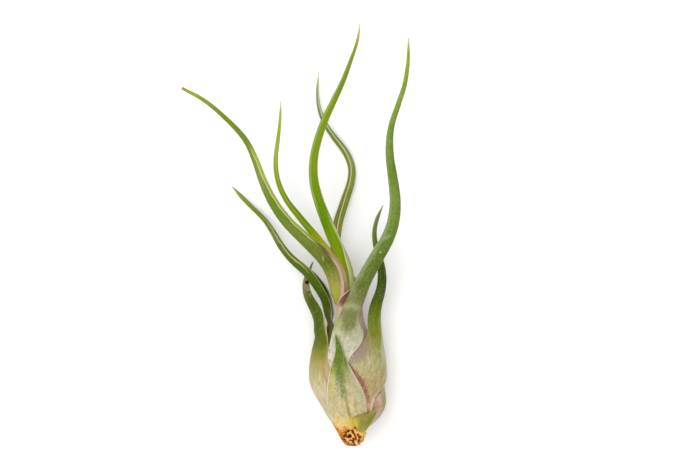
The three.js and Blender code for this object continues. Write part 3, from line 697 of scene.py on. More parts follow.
# khaki sheath and dark green blade on the right
rightLeaf = {
    "piece": "rightLeaf", "node": "leaf_right", "slot": "leaf_dark", "skin": "khakiSheathSkin",
    "layer": 0, "squareTo": 8.5,
    "sheath": [
        (28, 30), (-19, 24, 16), (-15, 20.5, 10.5), (-11.7, 21.8, 9.7), (-9, 25.8, 11.8),
        (-7.4, 30.8, 16.8), (-6, 36.5, 23.5), (-4.5, 42.5, 31.5), (-2.7, 49.2, 42.2), (-0.5, 55.5, 53.5),
        (3, 59, 63), (8.5, 57.5, 57.5),
    ],
    "blade": [
        (5.6, 13, 14.6, 7.4, 68, 58), (7.9, 16.4, 16.2, 4.7, 70, 74), (8.8, 20.4, 17, 3.5, 68, 92),
        (9.9, 25.2, 16.6, 2.8, 70, 105), (11.8, 30.4, 16, 2.3, 75, 112), (12.5, 35.8, 15.6, 2.1, 80, 116),
        (11.8, 41.8, 15.6, 1.75, 85, 118), (10.3, 47, 16, 1.4, 90, 120), (9.6, 51.8, 17, 1.15, 90, 120),
        (10.4, 56.8, 18.4, 0.95, 90, 120), (11.9, 60.4, 19.8, 0.72, 90, 120),
        (13.1, 62.8, 21, 0.45, 90, 120),
    ],
    "hugs": [hug(-1, 0.3, 4, (-19, 6)), hug(1, 0.3, 4, (-12, 0))],
    "stops": [
        (-23, "#d9b77c"), (-13, "#d6b082"), (-9, "#bea47a"), (-5, "#b39c66"), (0, "#b6a874"),
        (4, "#beb486"), (8, "#aea074"), (11, "#9e965a"), (14.5, "#7a8228"), (19, "#6a7726"),
        (24, "#586818"), (28, "#41570a"), (36, "#365008"), (44, "#4a6418"), (52, "#687b38"),
        (60, "#6c8048"), (63, "#93a06a"),
    ],
    "streak": 0.25, "streakDark": "#7c7844", "streakLight": "#c4ba90", "inside": "#4a6020",
    "mottle": {"light": "#d6ccaa", "dark": "#998850", "amount": 0.5, "y": (8, 13)},
    "stripes": [
        stripe(-0.1, 0.22, "#8e9a38", 0.8, (7, 22)), stripe(0.16, 0.18, "#cccca2", 0.75, (4, 19)),
        stripe(0.4, 0.25, "#cfceaa", 0.55, (-4, 12)),
    ],
    "patches": [
        patch((4, 7.4, 25), (2.2, 4, 20), "#9c8480", 0.8, turn=-38, soft=0.7),
        patch((6.4, 12, 23), (1, 3, 20), "#a88c74", 0.6, turn=-20),
        # painted shadow: a dark red line where the front leaf's right margin shades this sheath, partly the
        # sheath's own mauve
        patch((2.3, 8.6, 25), (0.4, 3.2, 20), "#8e3f48", 0.85, turn=-37, soft=0.35),
        # painted shadow: the dark brown wedge in the gap at the top of the band under the short front leaf's
        # right margin
        patch((0.5, 3.2, 25), (0.6, 2.4, 20), "#6e2c1e", 0.9, turn=42, soft=0.35),
        # mauve band under the short front leaf's right margin, partly the sheath's own mauve and partly
        # painted shade
        patch((2.8, 0.3, 25), (0.85, 2.4, 20), "#a2665f", 0.9, turn=47, soft=0.35),
        patch((4.9, -2.5, 25), (0.85, 2.6, 20), "#9c625e", 0.9, turn=31, soft=0.35),
        patch((6.5, -5.9, 25), (0.7, 2.6, 20), "#a06862", 0.9, turn=22, soft=0.35),
        patch((7.5, -9.2, 25), (0.5, 2.6, 20), "#ac6a64", 0.85, turn=8, soft=0.4),
        patch((7.6, -12.6, 24), (0.6, 1.8, 20), "#e4b67c", 0.85, soft=0.5),
    ],
    "bands": [band(1, 0.7, "#e9d8b8", 0.85, y=(-20, 2)), band(1, 1, "#b9b98a", 0.7, y=(6, 30), soft=0.6)],
    "scurf": 0.35, "scurfBlade": 0.03, "scurfFrom": 6, "scurfTo": 16, "dots": 0.45, "rim": 0.12,
    "rimColour": "#dfd4ae", "rimAmount": 0.4, "tipFrom": 0.97, "tipColour": "#a9ae78", "rough": 0.5,
}
makeLeaf(rightLeaf)

# left side of the bulb, with a blackened wound near its tip
lowLeftLeaf = {
    "piece": "lowLeftLeaf", "node": "leaf_left_low", "slot": "leaf_dark", "skin": "leftSheathSkin",
    "layer": 0, "squareTo": 12,
    "sheath": [(-88, 60), (-17, -88, 62), (-9, -88, 64), (-1, -88, 65), (6, -88, 61), (12, -86, 50)],
    "blade": [
        (-8.2, 16.4, 16.4, 4.6, -76, 78), (-9.8, 19.8, 17.3, 3, -70, 94),
        (-12, 23.8, 16.2, 2.35, -66, 108), (-14.6, 27.9, 13.8, 1.9, -66, 115),
        (-15.8, 32.4, 11.2, 1.6, -70, 118), (-15, 37, 9, 1.2, -75, 120), (-13.3, 41.4, 8, 0.45, -80, 120),
    ],
    "stops": [
        (-23, "#dcb57a"), (-18, "#dccbae"), (-13, "#d4c2a4"), (-7, "#d2c6a6"), (-3, "#c0b688"),
        (1, "#b0a66c"), (5, "#9c954c"), (8, "#7c8032"), (11, "#5c6819"), (15, "#526414"), (21, "#4c6218"),
        (25, "#50601c"), (29, "#6a6e34"), (33, "#8a8a62"), (37, "#8a8a60"), (41, "#8e8c66"),
    ],
    "streak": 0.22, "streakDark": "#6c6c30", "streakLight": "#b5ae78", "inside": "#6f6c30",
    "mottle": {"light": "#dcd2b4", "dark": "#9c9250", "amount": 0.5, "y": (-3, 6)},
    "stripes": [stripe(0.4, 0.3, "#3f520c", 0.6, (14, 28))],
    "patches": [
        patch((-14.7, 31.2, 13), (0.6, 2.4, 8), "#a8a06a", 0.8, turn=12),
        patch((-15.5, 33.7, 12), (0.9, 0.7, 8), "#1c180c", 1, turn=-20, soft=0.3),
        patch((-14.7, 30.1, 13), (0.32, 0.5, 8), "#26220f", 0.95, soft=0.3),
        patch((-14.9, 32.2, 13), (0.22, 0.22, 8), "#3a341a", 0.8, soft=0.3),
        patch((-6.8, 4, 24), (1.4, 6.5, 20), "#bda68a", 0.7),
        patch((-8.2, 19, 20), (0.8, 5.5, 20), "#c9c4a0", 0.6, turn=8),
        # pink band under the short front leaf's left margin, partly this sheath's own pink and partly painted
        # shadow
        patch((-7.2, -6, 22), (0.5, 9, 20), "#b58878", 0.75, turn=14, soft=0.5),
    ],
    "bands": [band(1, 1.2, "#b99a7e", 0.6, y=(-24, 8)), band(1, 0.35, "#d2c080", 0.8, y=(14, 40))],
    "scurf": 0.35, "scurfBlade": 0.03, "scurfFrom": -6, "scurfTo": 8, "dots": 0.5, "rim": 0.18,
    "rimColour": "#d9cfa4", "tipFrom": 0.93, "tipColour": "#5c5a30", "rough": 0.5,
}
makeLeaf(lowLeftLeaf)

# wraps the back, its pink-tan sheath shows at the lower right
shortBackLeaf = {
    "piece": "shortBackLeaf", "node": "leaf_short_back", "slot": "leaf_pale_sheath",
    "skin": "pinkSheathSkin", "layer": -1, "squareTo": 10.5,
    "sheath": [
        (124, 126), (-18.5, 124, 126), (-15, 124, 126), (-11, 124, 126), (-7, 124, 126), (-3.5, 124, 126),
        (0, 125, 125), (3, 128, 118), (4.8, 133, 106), (6.5, 138, 94), (8.5, 148, 64), (10.5, 154, 36),
    ],
    "blade": [
        (4.5, 12.5, 8.6, 6.5, 140, 24), (8.6, 14.6, 7.6, 3.6, 130, 28), (11.5, 16.4, 7.8, 1.3, 122, 45),
        (12.5, 17.8, 8.2, 0.5, 118, 60),
    ],
    "stops": [
        (-23, "#d6a766"), (-19, "#cab59c"), (-15, "#c4a68c"), (-12, "#bea084"), (-8, "#ccae96"),
        (-2, "#b49c78"), (4, "#9c9860"), (10, "#86994a"), (17, "#6c8c3a"),
    ],
    "streak": 0.3, "streakDark": "#8a7850", "streakLight": "#dccdb4", "inside": "#a39468",
    "mottle": {"light": "#d8c8ac", "dark": "#9a8a64", "amount": 0.5, "y": (2, 14)},
    "patches": [
        # painted shadow: a dark pink line under the right leaf's lower margin, partly this sheath's own pink
        # margin
        patch((10.6, -8.2, 22), (0.55, 3.4, 20), "#a4605e", 0.85, turn=-48, soft=0.5),
        patch((13.6, -10.4, 16), (0.8, 5, 7), "#a09c50", 0.6, turn=8),
        patch((8.2, -13.8, 20), (2, 0.8, 20), "#8c7448", 0.7, turn=16),
    ],
    "bands": [band(0, 0.5, "#96625e", 0.5)],
    "scurf": 0.3, "scurfBlade": 0.1, "scurfFrom": 0, "scurfTo": 12, "dots": 0.3, "rim": 0.2,
    "rimColour": "#e0cfae", "tipFrom": 0.97, "tipColour": "#8a8f4a", "rough": 0.55,
}
makeLeaf(shortBackLeaf)

# dark green leaf that lies low on the left
midLeftLeaf = {
    "piece": "midLeftLeaf", "node": "leaf_left_mid", "slot": "leaf_dark", "skin": "darkLeafSkin",
    "layer": -2, "squareTo": 15,
    "sheath": [(-45, 80), (-9, -45, 80), (0, -45, 80), (7, -48, 74), (12.5, -58, 58), (17, -73, 35)],
    "blade": [
        (-6.6, 22, 11, 2.5, -100, 110), (-7.7, 27.4, 12, 2.5, -100, 118),
        (-10.2, 32, 13.6, 2.6, -96, 118), (-14.5, 37.8, 14.2, 2.5, -96, 114),
        (-20.6, 42.7, 11.5, 2.1, -104, 116), (-25.1, 47.8, 8.4, 1.8, -102, 118),
        (-28.5, 53.2, 5.2, 1.45, -98, 118), (-32, 58, 2.9, 1.2, -98, 118),
        (-37.7, 63.4, 1.05, 1.08, -98, 118), (-41.6, 67.2, 1.5, 0.85, -100, 118),
        (-44.4, 70.2, 2.8, 0.45, -120, 118),
    ],
    "stops": [
        (-20, "#b9b184"), (0, "#a8a66a"), (10, "#9a8c60"), (16, "#70703a"), (22, "#566420"),
        (28, "#44590c"), (34, "#485f16"), (40, "#4c6414"), (46, "#5c6e2a"), (52, "#788048"),
        (56, "#6a7832"), (60, "#768632"), (64, "#7e9034"), (68, "#8c9c42"), (71, "#b4ac7c"),
    ],
    "streak": 0.25, "streakDark": "#3b4e10", "streakLight": "#86924e", "inside": "#405208",
    "insideAmount": 0.7,
    "stripes": [stripe(0.72, 0.08, "#ccc88e", 0.75, (39, 57), fade=3)],
    "patches": [patch((-18, 42.5, 14), (0.9, 5, 12), "#868c52", 0.5, turn=42)],
    "bands": [
        band(-1, 0.3, "#cdc78e", 0.5), band(1, 0.18, "#dcd3a8", 0.6, y=(16, 50)),
        band(-1, 0.7, "#d4d2bc", 0.8, y=(12, 30)),
    ],
    "scurf": 0.25, "scurfBlade": 0.04, "scurfFrom": 6, "scurfTo": 20, "dots": 0.15, "rim": 0.15,
    "rimColour": "#dcd4a4", "rimAmount": 0.35, "tipFrom": 0.97, "tipColour": "#b9b488", "rough": 0.46,
}
makeLeaf(midLeftLeaf)

# olive leaf behind, its rolled blade shows a cream margin
backLeaf = {
    "piece": "backLeaf", "node": "leaf_back", "slot": "leaf_olive", "skin": "oliveLeafSkin", "layer": -3,
    "squareTo": 30,
    "sheath": [(67, 133), (-8, 67, 133), (3, 67, 133), (9, 67, 133), (13, 67, 133)],
    "blade": [
        (0.5, 18, 13.9, 5.75, 67, 133), (0.4, 21, 14.4, 5.4, 67, 133), (0.2, 24, 14.9, 5.1, 67, 133),
        (0.3, 26.3, 15.3, 5, 69, 131), (0.5, 28, 16, 4.9, 75, 124), (0.8, 29.7, 16.1, 4.7, 81, 116),
        (1, 31, 15.1, 4.45, 93, 103), (1, 32, 13.8, 4.2, 107, 87), (0.8, 33.2, 12.5, 3.8, 125, 65),
        (-0.9, 35.2, 11.8, 3.2, 130, 74), (-2.4, 38.6, 10.9, 2.8, 130, 88), (-5, 46, 8.8, 2.5, 126, 98),
        (-4.7, 54.4, 6.4, 2.3, 120, 104), (-1.6, 65, 3.6, 2.05, 114, 108),
        (0.9, 72.6, 2.2, 1.8, 110, 112), (1.2, 78, 1.55, 1.6, 112, 114),
        (-0.9, 83.4, 1.8, 1.45, 118, 116), (-4.7, 88.4, 2.6, 1.25, 124, 118),
        (-8.4, 93.6, 3.6, 1, 128, 120), (-11, 99.8, 5, 0.8, 132, 120), (-11.7, 106.4, 6, 0.6, 140, 120),
        (-11.1, 114, 7, 0.45, 140, 120),
    ],
    # painted light: the pale pink stops from y 8 to 20 are paler than the sheath's own colour, to offset the
    # shade deep between the leaves
    "stops": [
        (-20, "#b9a88a"), (8, "#f4d8bc"), (20, "#f2d6bc"), (25, "#c09c84"), (29, "#9a7460"),
        (33, "#a08a5c"), (44, "#8a8e46"), (54, "#9a9650"), (60, "#868e40"), (68, "#828e36"),
        (75, "#889242"), (82, "#8c9c54"), (88, "#789048"), (93, "#769050"), (99, "#86a070"),
        (105, "#98b088"), (111, "#b4c6a6"), (114, "#d0dcc8"),
    ],
    "streak": 0.25, "streakDark": "#606c28", "streakLight": "#a5ac74", "inside": "#8c9046",
    "insideAmount": 0.4,
    "stripes": [stripe(0.45, 0.35, "#6f7a36", 0.5, (50, 66))],
    "patches": [patch((-1, 28.2, 22), (1.6, 3.4, 20), "#744438", 0.95, turn=-35, soft=0.5)],
    "bands": [
        band(-1, 0.25, "#e6dcb4", 0.85, y=(36, 140)),
        band(-1, 0.45, "#f0d4bc", 0.9, y=(14, 33), soft=0.3),
    ],
    "scurf": 0.2, "scurfBlade": 0.08, "scurfFrom": 8, "scurfTo": 24, "dots": 0.25, "rim": 0.15,
    "rimColour": "#e6dcb8", "tipFrom": 0.96, "tipColour": "#dfe2d0", "rough": 0.5,
}
makeLeaf(backLeaf)

# large sage leaf that runs up to the left, its tip cut
longLeftLeaf = {
    "piece": "longLeftLeaf", "node": "leaf_left_long", "slot": "leaf_sage", "skin": "sageLeafSkin",
    "layer": -4, "squareTo": 21, "finePoint": False,
    "sheath": [(-40, 108), (-7, -40, 108), (3, -40, 108), (8, -40, 108)],
    "blade": [
        (0, 13, 13.1, 7.7, -40, 106), (0.4, 18, 13.6, 4.6, -42, 90), (-0.2, 21, 14, 3.6, -46, 76),
        (-0.9, 24, 14.1, 2.8, -50, 70), (-2.7, 28, 14.6, 3.15, -50, 70), (-3.6, 32.4, 18, 3.3, -42, 88),
        (-5.4, 38, 21.4, 3.15, -34, 100), (-8.9, 43.4, 23.8, 2.85, -32, 106),
        (-15.8, 50, 26, 2.4, -34, 110), (-22.8, 56.9, 27.4, 2.15, -40, 114),
        (-28.1, 64.6, 27.8, 1.95, -50, 116), (-31.6, 72.3, 27.2, 1.75, -64, 116),
        (-34.2, 79.8, 26.2, 1.6, -78, 116), (-37.9, 87.3, 25, 1.35, -84, 116),
        (-44.8, 94.8, 23.8, 1.08, -84, 116), (-53.6, 102.2, 22.8, 0.9, -84, 116),
        (-62.1, 106.8, 22, 0.66, -84, 116),
    ],
    "stops": [
        (-18, "#c2b890"), (10, "#a39a58"), (22, "#aa9a44"), (28, "#b4ac4e"), (32, "#aaa458"),
        (36, "#888a3c"), (41, "#5c6a18"), (46, "#6c7832"), (52, "#707f36"), (58, "#6a8030"),
        (66, "#6c8430"), (72, "#7c8e48"), (80, "#80893a"), (86, "#6e8134"), (93, "#6e8628"),
        (99, "#768c2e"), (103, "#869c38"), (107, "#aaa85a"),
    ],
    "streak": 0.25, "streakDark": "#506426", "streakLight": "#9ca468", "inside": "#9da848",
    "insideAmount": 0.6,
    "stripes": [
        stripe(0.86, 0.42, "#a9b648", 0.95, (50, 84)), stripe(0.6, 0.08, "#d6d6a4", 0.8, (48, 82)),
        stripe(-0.74, 0.16, "#c6caa8", 0.5, (50, 102)),
    ],
    "patches": [
        patch((-1.8, 27, 19), (1.4, 4, 20), "#b09038", 0.8, turn=-14),
        patch((-4, 41, 25), (0.7, 4, 16), "#c49a86", 0.6, turn=42),
        patch((-8.6, 45.6, 25), (0.9, 3.8, 16), "#6c5c38", 0.7, turn=46),
        patch((-9.3, 43, 25), (0.35, 1, 16), "#b2b684", 0.6, turn=8),
    ],
    "bands": [
        band(-1, 0.9, "#b0b48a", 0.6, y=(36, 56), soft=0.6), band(-1, 0.25, "#d8dcc0", 0.6, y=(56, 102)),
        # the wide pink band on the right margin from y 24 to 44 is the margin's own pink, made paler as
        # painted light to offset the shade it lies in
        band(1, 0.3, "#e6d6bc", 0.8, y=(20, 80)), band(1, 1.3, "#f6d2bc", 0.95, y=(24, 44), soft=0.6),
    ],
    "scurf": 0.2, "scurfBlade": 0.08, "scurfFrom": 20, "scurfTo": 50, "scurfColour": "#d6d6bc",
    "dots": 0.2, "rim": 0.15, "rimColour": "#ddd2ae", "tipFrom": 0.985, "tipColour": "#b08a50",
    "rough": 0.55,
}
makeLeaf(longLeftLeaf)

# innermost and longest leaf, bright and smooth
centreLeaf = {
    "piece": "centreLeaf", "node": "leaf_centre", "slot": "leaf_bright", "skin": "youngLeafSkin",
    "layer": -5, "squareTo": 21,
    "sheath": [(80, 110), (-6, 80, 110), (3, 80, 110), (8, 80, 110)],
    "blade": [
        (0, 13, 13.1, 6.55, 80, 110), (0.6, 18, 13.6, 3.3, 80, 110), (1.2, 21, 13.9, 2.4, 82, 106),
        (1.7, 24, 14.2, 2.2, 86, 100), (1.3, 28, 14.8, 2.25, 90, 96), (0.4, 33, 15.7, 2.2, 104, 94),
        (-0.3, 37.9, 18.3, 2.3, 113, 91), (-2, 42.8, 20.6, 2.35, 125, 96),
        (-3.7, 46.5, 22, 2.35, 142, 92), (-5.2, 49.9, 23.7, 2.35, 164, 84),
        (-8.2, 57.4, 26.8, 2.25, 178, 70), (-11, 64.8, 29, 2.05, 178, 68),
        (-12.7, 72.2, 30.6, 1.85, 178, 70), (-12.7, 79.6, 31.8, 1.68, 178, 72),
        (-11.1, 86.9, 32.6, 1.55, 178, 76), (-8.5, 94.3, 33.2, 1.38, 176, 82),
        (-5, 101.6, 34, 1.2, 174, 90), (-1.6, 108.8, 35, 0.98, 170, 100), (1.1, 116, 36, 0.75, 165, 110),
        (3.6, 123.2, 36.6, 0.55, 160, 116), (4.4, 129.2, 37, 0.42, 160, 116),
    ],
    "stops": [
        (-18, "#c2b890"), (18, "#c0b070"), (30, "#c8c478"), (36, "#b4c050"), (40, "#a8b838"),
        (44, "#94aa22"), (50, "#7c9c0e"), (56, "#688c04"), (62, "#648a04"), (68, "#70940a"),
        (76, "#76991e"), (88, "#789626"), (98, "#82991e"), (105, "#76922c"), (111, "#84922e"),
        (117, "#909c36"), (123, "#aaa848"), (129, "#dccf96"),
    ],
    "streak": 0.18, "streakDark": "#567a06", "streakLight": "#9cb240", "inside": "#6d9010",
    "insideAmount": 0,
    "stripes": [
        stripe(0.9, 0.4, "#b8c480", 0.7, (60, 122)), stripe(-0.6, 0.45, "#6c861a", 0.55, (66, 112)),
        stripe(-0.8, 0.35, "#bcc894", 0.8, (32, 58)),
    ],
    "bands": [band(-1, 0.2, "#a59660", 0.55, y=(60, 110)), band(-1, 0.25, "#e6e2c4", 0.8, y=(34, 56))],
    "scurf": 0.15, "scurfBlade": 0.02, "scurfFrom": 20, "scurfTo": 34, "dots": 0.08, "rim": 0.12,
    "rimColour": "#cfc68a", "rimAmount": 0.5, "tipFrom": 0.985, "tipColour": "#dccf9c", "rough": 0.42,
    "gloss": 0.14,
}
makeLeaf(centreLeaf)

# thin bright leaf beside the centre
thinLeaf = {
    "piece": "thinLeaf", "node": "leaf_thin", "slot": "leaf_bright", "skin": "youngThinLeafSkin",
    "layer": -6, "squareTo": 21,
    "sheath": [(-120, 100), (-5, -120, 100), (3, -120, 100), (8, -120, 100)],
    "blade": [
        (0, 13, 13.1, 5.35, -120, 102), (0.6, 18, 13.6, 2.4, -120, 104), (1.2, 21, 13.9, 1.45, -120, 106),
        (1.5, 24, 14.1, 1.15, -120, 110), (-0.1, 28, 13.6, 1.15, -120, 110),
        (-1, 33, 13.8, 1.4, -118, 110), (-2, 37.9, 14.2, 1.6, -114, 110),
        (-5.8, 43.4, 16.2, 1.6, -110, 112), (-11.1, 50.2, 18.4, 1.6, -108, 112),
        (-17.3, 57.7, 20.4, 1.4, -106, 114), (-23, 65.1, 22, 1.22, -104, 114),
        (-26.1, 72.4, 23, 1.12, -102, 114), (-26.8, 79.8, 24, 1.02, -100, 114),
        (-25.9, 87.4, 25, 0.88, -100, 114), (-25.1, 95.2, 26, 0.64, -100, 114),
        (-24.9, 101.8, 27, 0.42, -100, 114),
    ],
    # painted light: the cream stops from y 30 to 42 are paler than the leaf's own colour, to offset the shade
    # between its neighbours, and stand in for the long left leaf's pink margin
    "stops": [
        (-18, "#c2b890"), (30, "#ecd0a4"), (36, "#fbe0cc"), (42, "#f4deb4"), (46, "#dcd868"),
        (50, "#b4c428"), (54, "#88a810"), (58, "#84a00e"), (63, "#86a018"), (70, "#8ea430"),
        (76, "#93a836"), (82, "#9cac3c"), (88, "#98aa38"), (93, "#96a832"), (97, "#a4ae42"),
        (102, "#ccc070"),
    ],
    "streak": 0.15, "streakDark": "#688408", "streakLight": "#b2be54", "inside": "#7c9a0c",
    "insideAmount": 0,
    "bands": [band(1, 0.15, "#d0c878", 0.3)],
    "scurf": 0.15, "scurfBlade": 0.02, "scurfFrom": 20, "scurfTo": 32, "dots": 0.08, "rim": 0.12,
    "rimColour": "#cdd08a", "rimAmount": 0.25, "tipFrom": 0.97, "tipColour": "#dcd8a0", "rough": 0.42,
    "gloss": 0.14,
}
makeLeaf(thinLeaf)

# Torn stem, in mm
stem = {
    "radius": 3.4, "top": -12, "topRadius": 1.6, "crownRadius": 4.8, "crownTop": -22.8, "crownEnd": -27.7,
    "sides": 200, "spacing": 0.13,
    "endHollow": 0.9, "topDome": 0.5,              # mm that the middle of each end is moved up
    "waves": [(0.5, 3, 1.1), (0.4, 7, -2)],        # torn outline: share, waves round it, twist per mm
    "leftBulge": (0.7, 290, 35),                   # torn leaf bases: mm, compass angle, width
    "bulgeRise": (-26, -23.6),
    "ragged": 0.3, "raggedSize": 0.8,              # mm, how far and how finely cells are torn
    "upperSide": (0, 0.3),                         # hollows and cracks are on what faces up
    "hollowDepth": 1.4, "hollowEdge": (0.6, 1.1), "rim": (0.3, 1.35, 0.3),
    "crackDepth": 0.7, "crackEdge": (0.2, 0.6),
}
# How dark the tissue is: 0 is pale cork and 1 is a dark cavity. In the hollows it grows darker with depth,
# partly dead tissue and partly painted shade.
stemTones = {
    "upper": 0.08, "lower": 0.45, "spread": 0.3, "ends": 0.5,
    # the hollows' tone grows with their depth: painted shade over the dark dead tissue
    "hollow": (0.5, 0.6), "hollowRim": (0.35, 1.4, 0.35),      # least and by depth, pale rim round it
    "crack": 0.85, "crackLip": (0.2, 0.75, 0.25),
}
# Hollows that torn-off sheaths and roots left on the crown's upper side, in mm as seen from
# above: middle, half width, half length, turn to the left in degrees, depth as a share.
crownHollows = [
    (0.2, -24.1, 1.5, 0.85, 12, 1.0), (1.3, -26.0, 1.15, 0.65, -12, 1.0), (3.4, -26.2, 0.85, 0.75, 0, 0.9),
    (4.9, -24.5, 0.8, 0.6, 20, 0.5), (-0.9, -25.8, 0.45, 0.5, 30, 0.4),
]
# Brown cracks between the torn layers, as lines from one point to the next
crownCracks = [
    [(0.9, -21.3), (-0.6, -22.6), (-1.6, -24.2), (-1.7, -25.6), (-0.9, -26.7), (0.6, -27.1)],
    [(1.2, -21.4), (2.1, -22.8), (2.9, -24.2), (3.2, -25.2)],
    [(2.0, -25.0), (2.6, -26.4), (3.0, -27.4)],
    [(3.9, -23.6), (4.4, -25.2), (4.2, -26.6)],
]
# Dry ends of old leaf bases: from, to, radius at each end in mm, how flat, tone at each end
baseFlakes = [
    ((-4.5, -18.8, 16.6), (-1.9, -25.6, 14.8), (1.5, 0.5), 0.7, (0.15, 0.5)),
    ((-2.6, -18.6, 19.0), (-1.5, -22.7, 16.9), (2.5, 1.1), 0.3, (-0.15, 0.35)),
    ((0.8, -18.8, 19.5), (0.8, -21.6, 18.2), (2.3, 1.0), 0.3, (-0.15, 0.35)),
    ((4.9, -22.8, 15.6), (6.0, -25.2, 15.0), (0.9, 0.3), 0.6, (-0.1, 0.3)),
    ((3.0, -25.9, 15.4), (3.4, -28.0, 15.1), (0.7, 0.2), 0.5, (-0.2, 0.1)),
    ((1.0, -26.2, 15.6), (0.9, -27.6, 15.0), (0.6, 0.2), 0.5, (-0.15, 0.35)),
]
flakeBuild = {"sides": 24, "rings": 8, "ragged": 0.15, "raggedSize": 0.7}
# Frayed ends round the crown, drawn at random between the limits
fibres = {
    "count": 30, "seed": 7, "sides": 6, "radii": (0.1, 0.02),
    "turn": (-100, 100),                           # degrees from straight up
    "rootY": (0.3, 2.6), "rootRadius": 2.4, "widening": 0.55,      # above the crown's end
    "aim": (0.6, -0.8, 0.3), "stray": (-0.3, 0.5),
    "length": 1.5, "shares": (0.4, 1), "pastEnd": 0.7, "tones": (-0.1, 0.4),
}


def stemRings():
    # outline of the stem from the crown's end to its top: y, radius, how torn
    end, top, radius, crown = stem["crownEnd"], stem["crownTop"], stem["radius"], stem["crownRadius"]
    return np.array([
        (end, 2, 0.3), (end + 0.5, 2.9, 0.35), (end + 1.7, 3.9, 0.35), (end + 3, 4.5, 0.3),
        (top - 0.6, crown, 0.2), (top - 0.1, crown - 0.2, 0.15), (top, radius, 0),
        (stem["top"] - 3.5, radius, 0), (stem["top"] - 1.5, radius - 0.6, 0),
        (stem["top"], stem["topRadius"], 0)])


def awayFromLine(x, y, line):
    away = np.full(x.shape, np.inf)
    for (x0, y0), (x1, y1) in zip(line, line[1:]):
        square = (x1 - x0) ** 2 + (y1 - y0) ** 2
        t = np.clip(((x - x0) * (x1 - x0) + (y - y0) * (y1 - y0)) / square, 0, 1)
        away = np.minimum(away, np.hypot(x - x0 - t * (x1 - x0), y - y0 - t * (y1 - y0)))
    return away


def tearCrown(x, y, tear):
    # how far each point of the crown is moved, and its tone, which darkens in the hollows as painted shade
    moved, sunk = 0 * x, 0 * x
    tone = stemTones["upper"] + stemTones["spread"] * tear
    least, byDepth = stemTones["hollow"]
    for atX, atY, halfWidth, halfLength, turn, depth in crownHollows:
        c, s = math.cos(math.radians(turn)), math.sin(math.radians(turn))
        aside, down = c * (x - atX) + s * (y - atY), c * (y - atY) - s * (x - atX)
        away = np.hypot(aside / halfWidth, down / halfLength)
        inside = 1 - smoothStep(away, *stem["hollowEdge"])
        sunk = np.maximum(sunk, stem["hollowDepth"] * depth * inside)
        moved = np.maximum(moved, bell(away, *stem["rim"]))
        tone = np.maximum(tone - bell(away, *stemTones["hollowRim"]), (least + byDepth * depth) * inside)
    for line in crownCracks:
        away = awayFromLine(x, y, line)
        inside = 1 - smoothStep(away, *stem["crackEdge"])
        sunk = np.maximum(sunk, stem["crackDepth"] * inside)
        tone = np.maximum(tone - bell(away, *stemTones["crackLip"]), stemTones["crack"] * inside)
    return moved - sunk, tone


def stemSurface():
    # rings of points from the crown's end to the top, and the tone at each point
    rings = stemRings()
    y = np.arange(rings[0, 0], rings[-1, 0], stem["spacing"])
    radius = np.interp(y, rings[:, 0], rings[:, 1])[:, None]
    torn = np.interp(y, rings[:, 0], rings[:, 2])[:, None]
    angle = np.linspace(0, 2 * math.pi, stem["sides"] + 1)[None, :]
    waves = [share * np.sin(count * angle + twist * y[:, None]) for share, count, twist in stem["waves"]]
    bulge = bell(np.degrees(angle), *stem["leftBulge"]) * smoothStep(y, *stem["bulgeRise"])[:, None]
    reach = radius + torn * sum(waves) + bulge * (torn > 0)
    right = np.array([1.0, 0, 0])
    up = np.cross(right, bulbNormal(y))
    centre = np.stack([axisX(y), y, 0 * y + bulb["axisHeight"]], axis=1)
    ray = np.sin(angle)[..., None] * right + np.cos(angle)[..., None] * up[:, None]
    points = centre[:, None] + reach[..., None] * ray

    places, size = points.reshape(-1, 3), stem["raggedSize"]
    tear = np.array([noise.noise_vector(Vector(p) / size) for p in places]).reshape(points.shape)
    upper = (torn > 0) * smoothStep(np.cos(angle), *stem["upperSide"])
    jittered = points + stem["ragged"] * tear
    moved, tone = tearCrown(jittered[..., 0], jittered[..., 1], tear[..., 2])
    points = points + (moved * upper)[..., None] * ray
    tone = np.where(upper > 0.5, tone, stemTones["lower"] + stemTones["spread"] * tear[..., 2])

    closed = np.zeros((1, points.shape[1], 3))
    first = centre[:1, None] + closed + np.array([0, stem["endHollow"], 0])
    last = centre[-1:, None] + closed + np.array([0, stem["topDome"], 0])
    points = np.concatenate([first, points, last])
    points[:, -1] = points[:, 0]
    tone = np.pad(tone, ((1, 1), (0, 0)), constant_values=stemTones["ends"])
    return points * mm, np.stack([tone, 0 * tone, 0 * tone], axis=-1)


def tornCone(name, start, end, radii, flat, tones, sides, rings):
    # a cone between two points, flattened from above, roughened where it has rings
    deselectAll()
    start, end = Vector(start), Vector(end)
    way = end - start
    bpy.ops.mesh.primitive_cone_add(vertices=sides, radius1=radii[0], radius2=radii[1], depth=way.length)
    piece = bpy.context.object
    piece.name = name
    bpy.context.tool_settings.mesh_select_mode = (True, False, False)
    if rings:
        bpy.ops.object.mode_set(mode="EDIT")
        bpy.ops.mesh.select_all(action="SELECT")
        bpy.ops.mesh.subdivide(number_cuts=rings)
        bpy.ops.object.mode_set(mode="OBJECT")
    piece.scale = (1, flat, 1)
    bpy.ops.object.transform_apply(location=False, rotation=False, scale=True)
    piece.rotation_euler = way.to_track_quat("Z", "Y").to_euler()
    piece.location = (start + end) / 2
    bpy.ops.object.transform_apply(location=True, rotation=True, scale=True)
    deep = piece.data.attributes.new("deep", "FLOAT_VECTOR", "POINT")
    for vertex, value in zip(piece.data.vertices, deep.data):
        tear = noise.noise_vector(vertex.co / flakeBuild["raggedSize"])
        share = min(max((vertex.co - start).dot(way) / way.length_squared, 0), 1)
        tone = tones[0] + (tones[1] - tones[0]) * share + stemTones["spread"] * tear.z
        value.vector = (tone, 0, 0)
        if rings:
            vertex.co += flakeBuild["ragged"] * tear
        vertex.co *= mm
    bpy.ops.object.shade_smooth()
    return piece


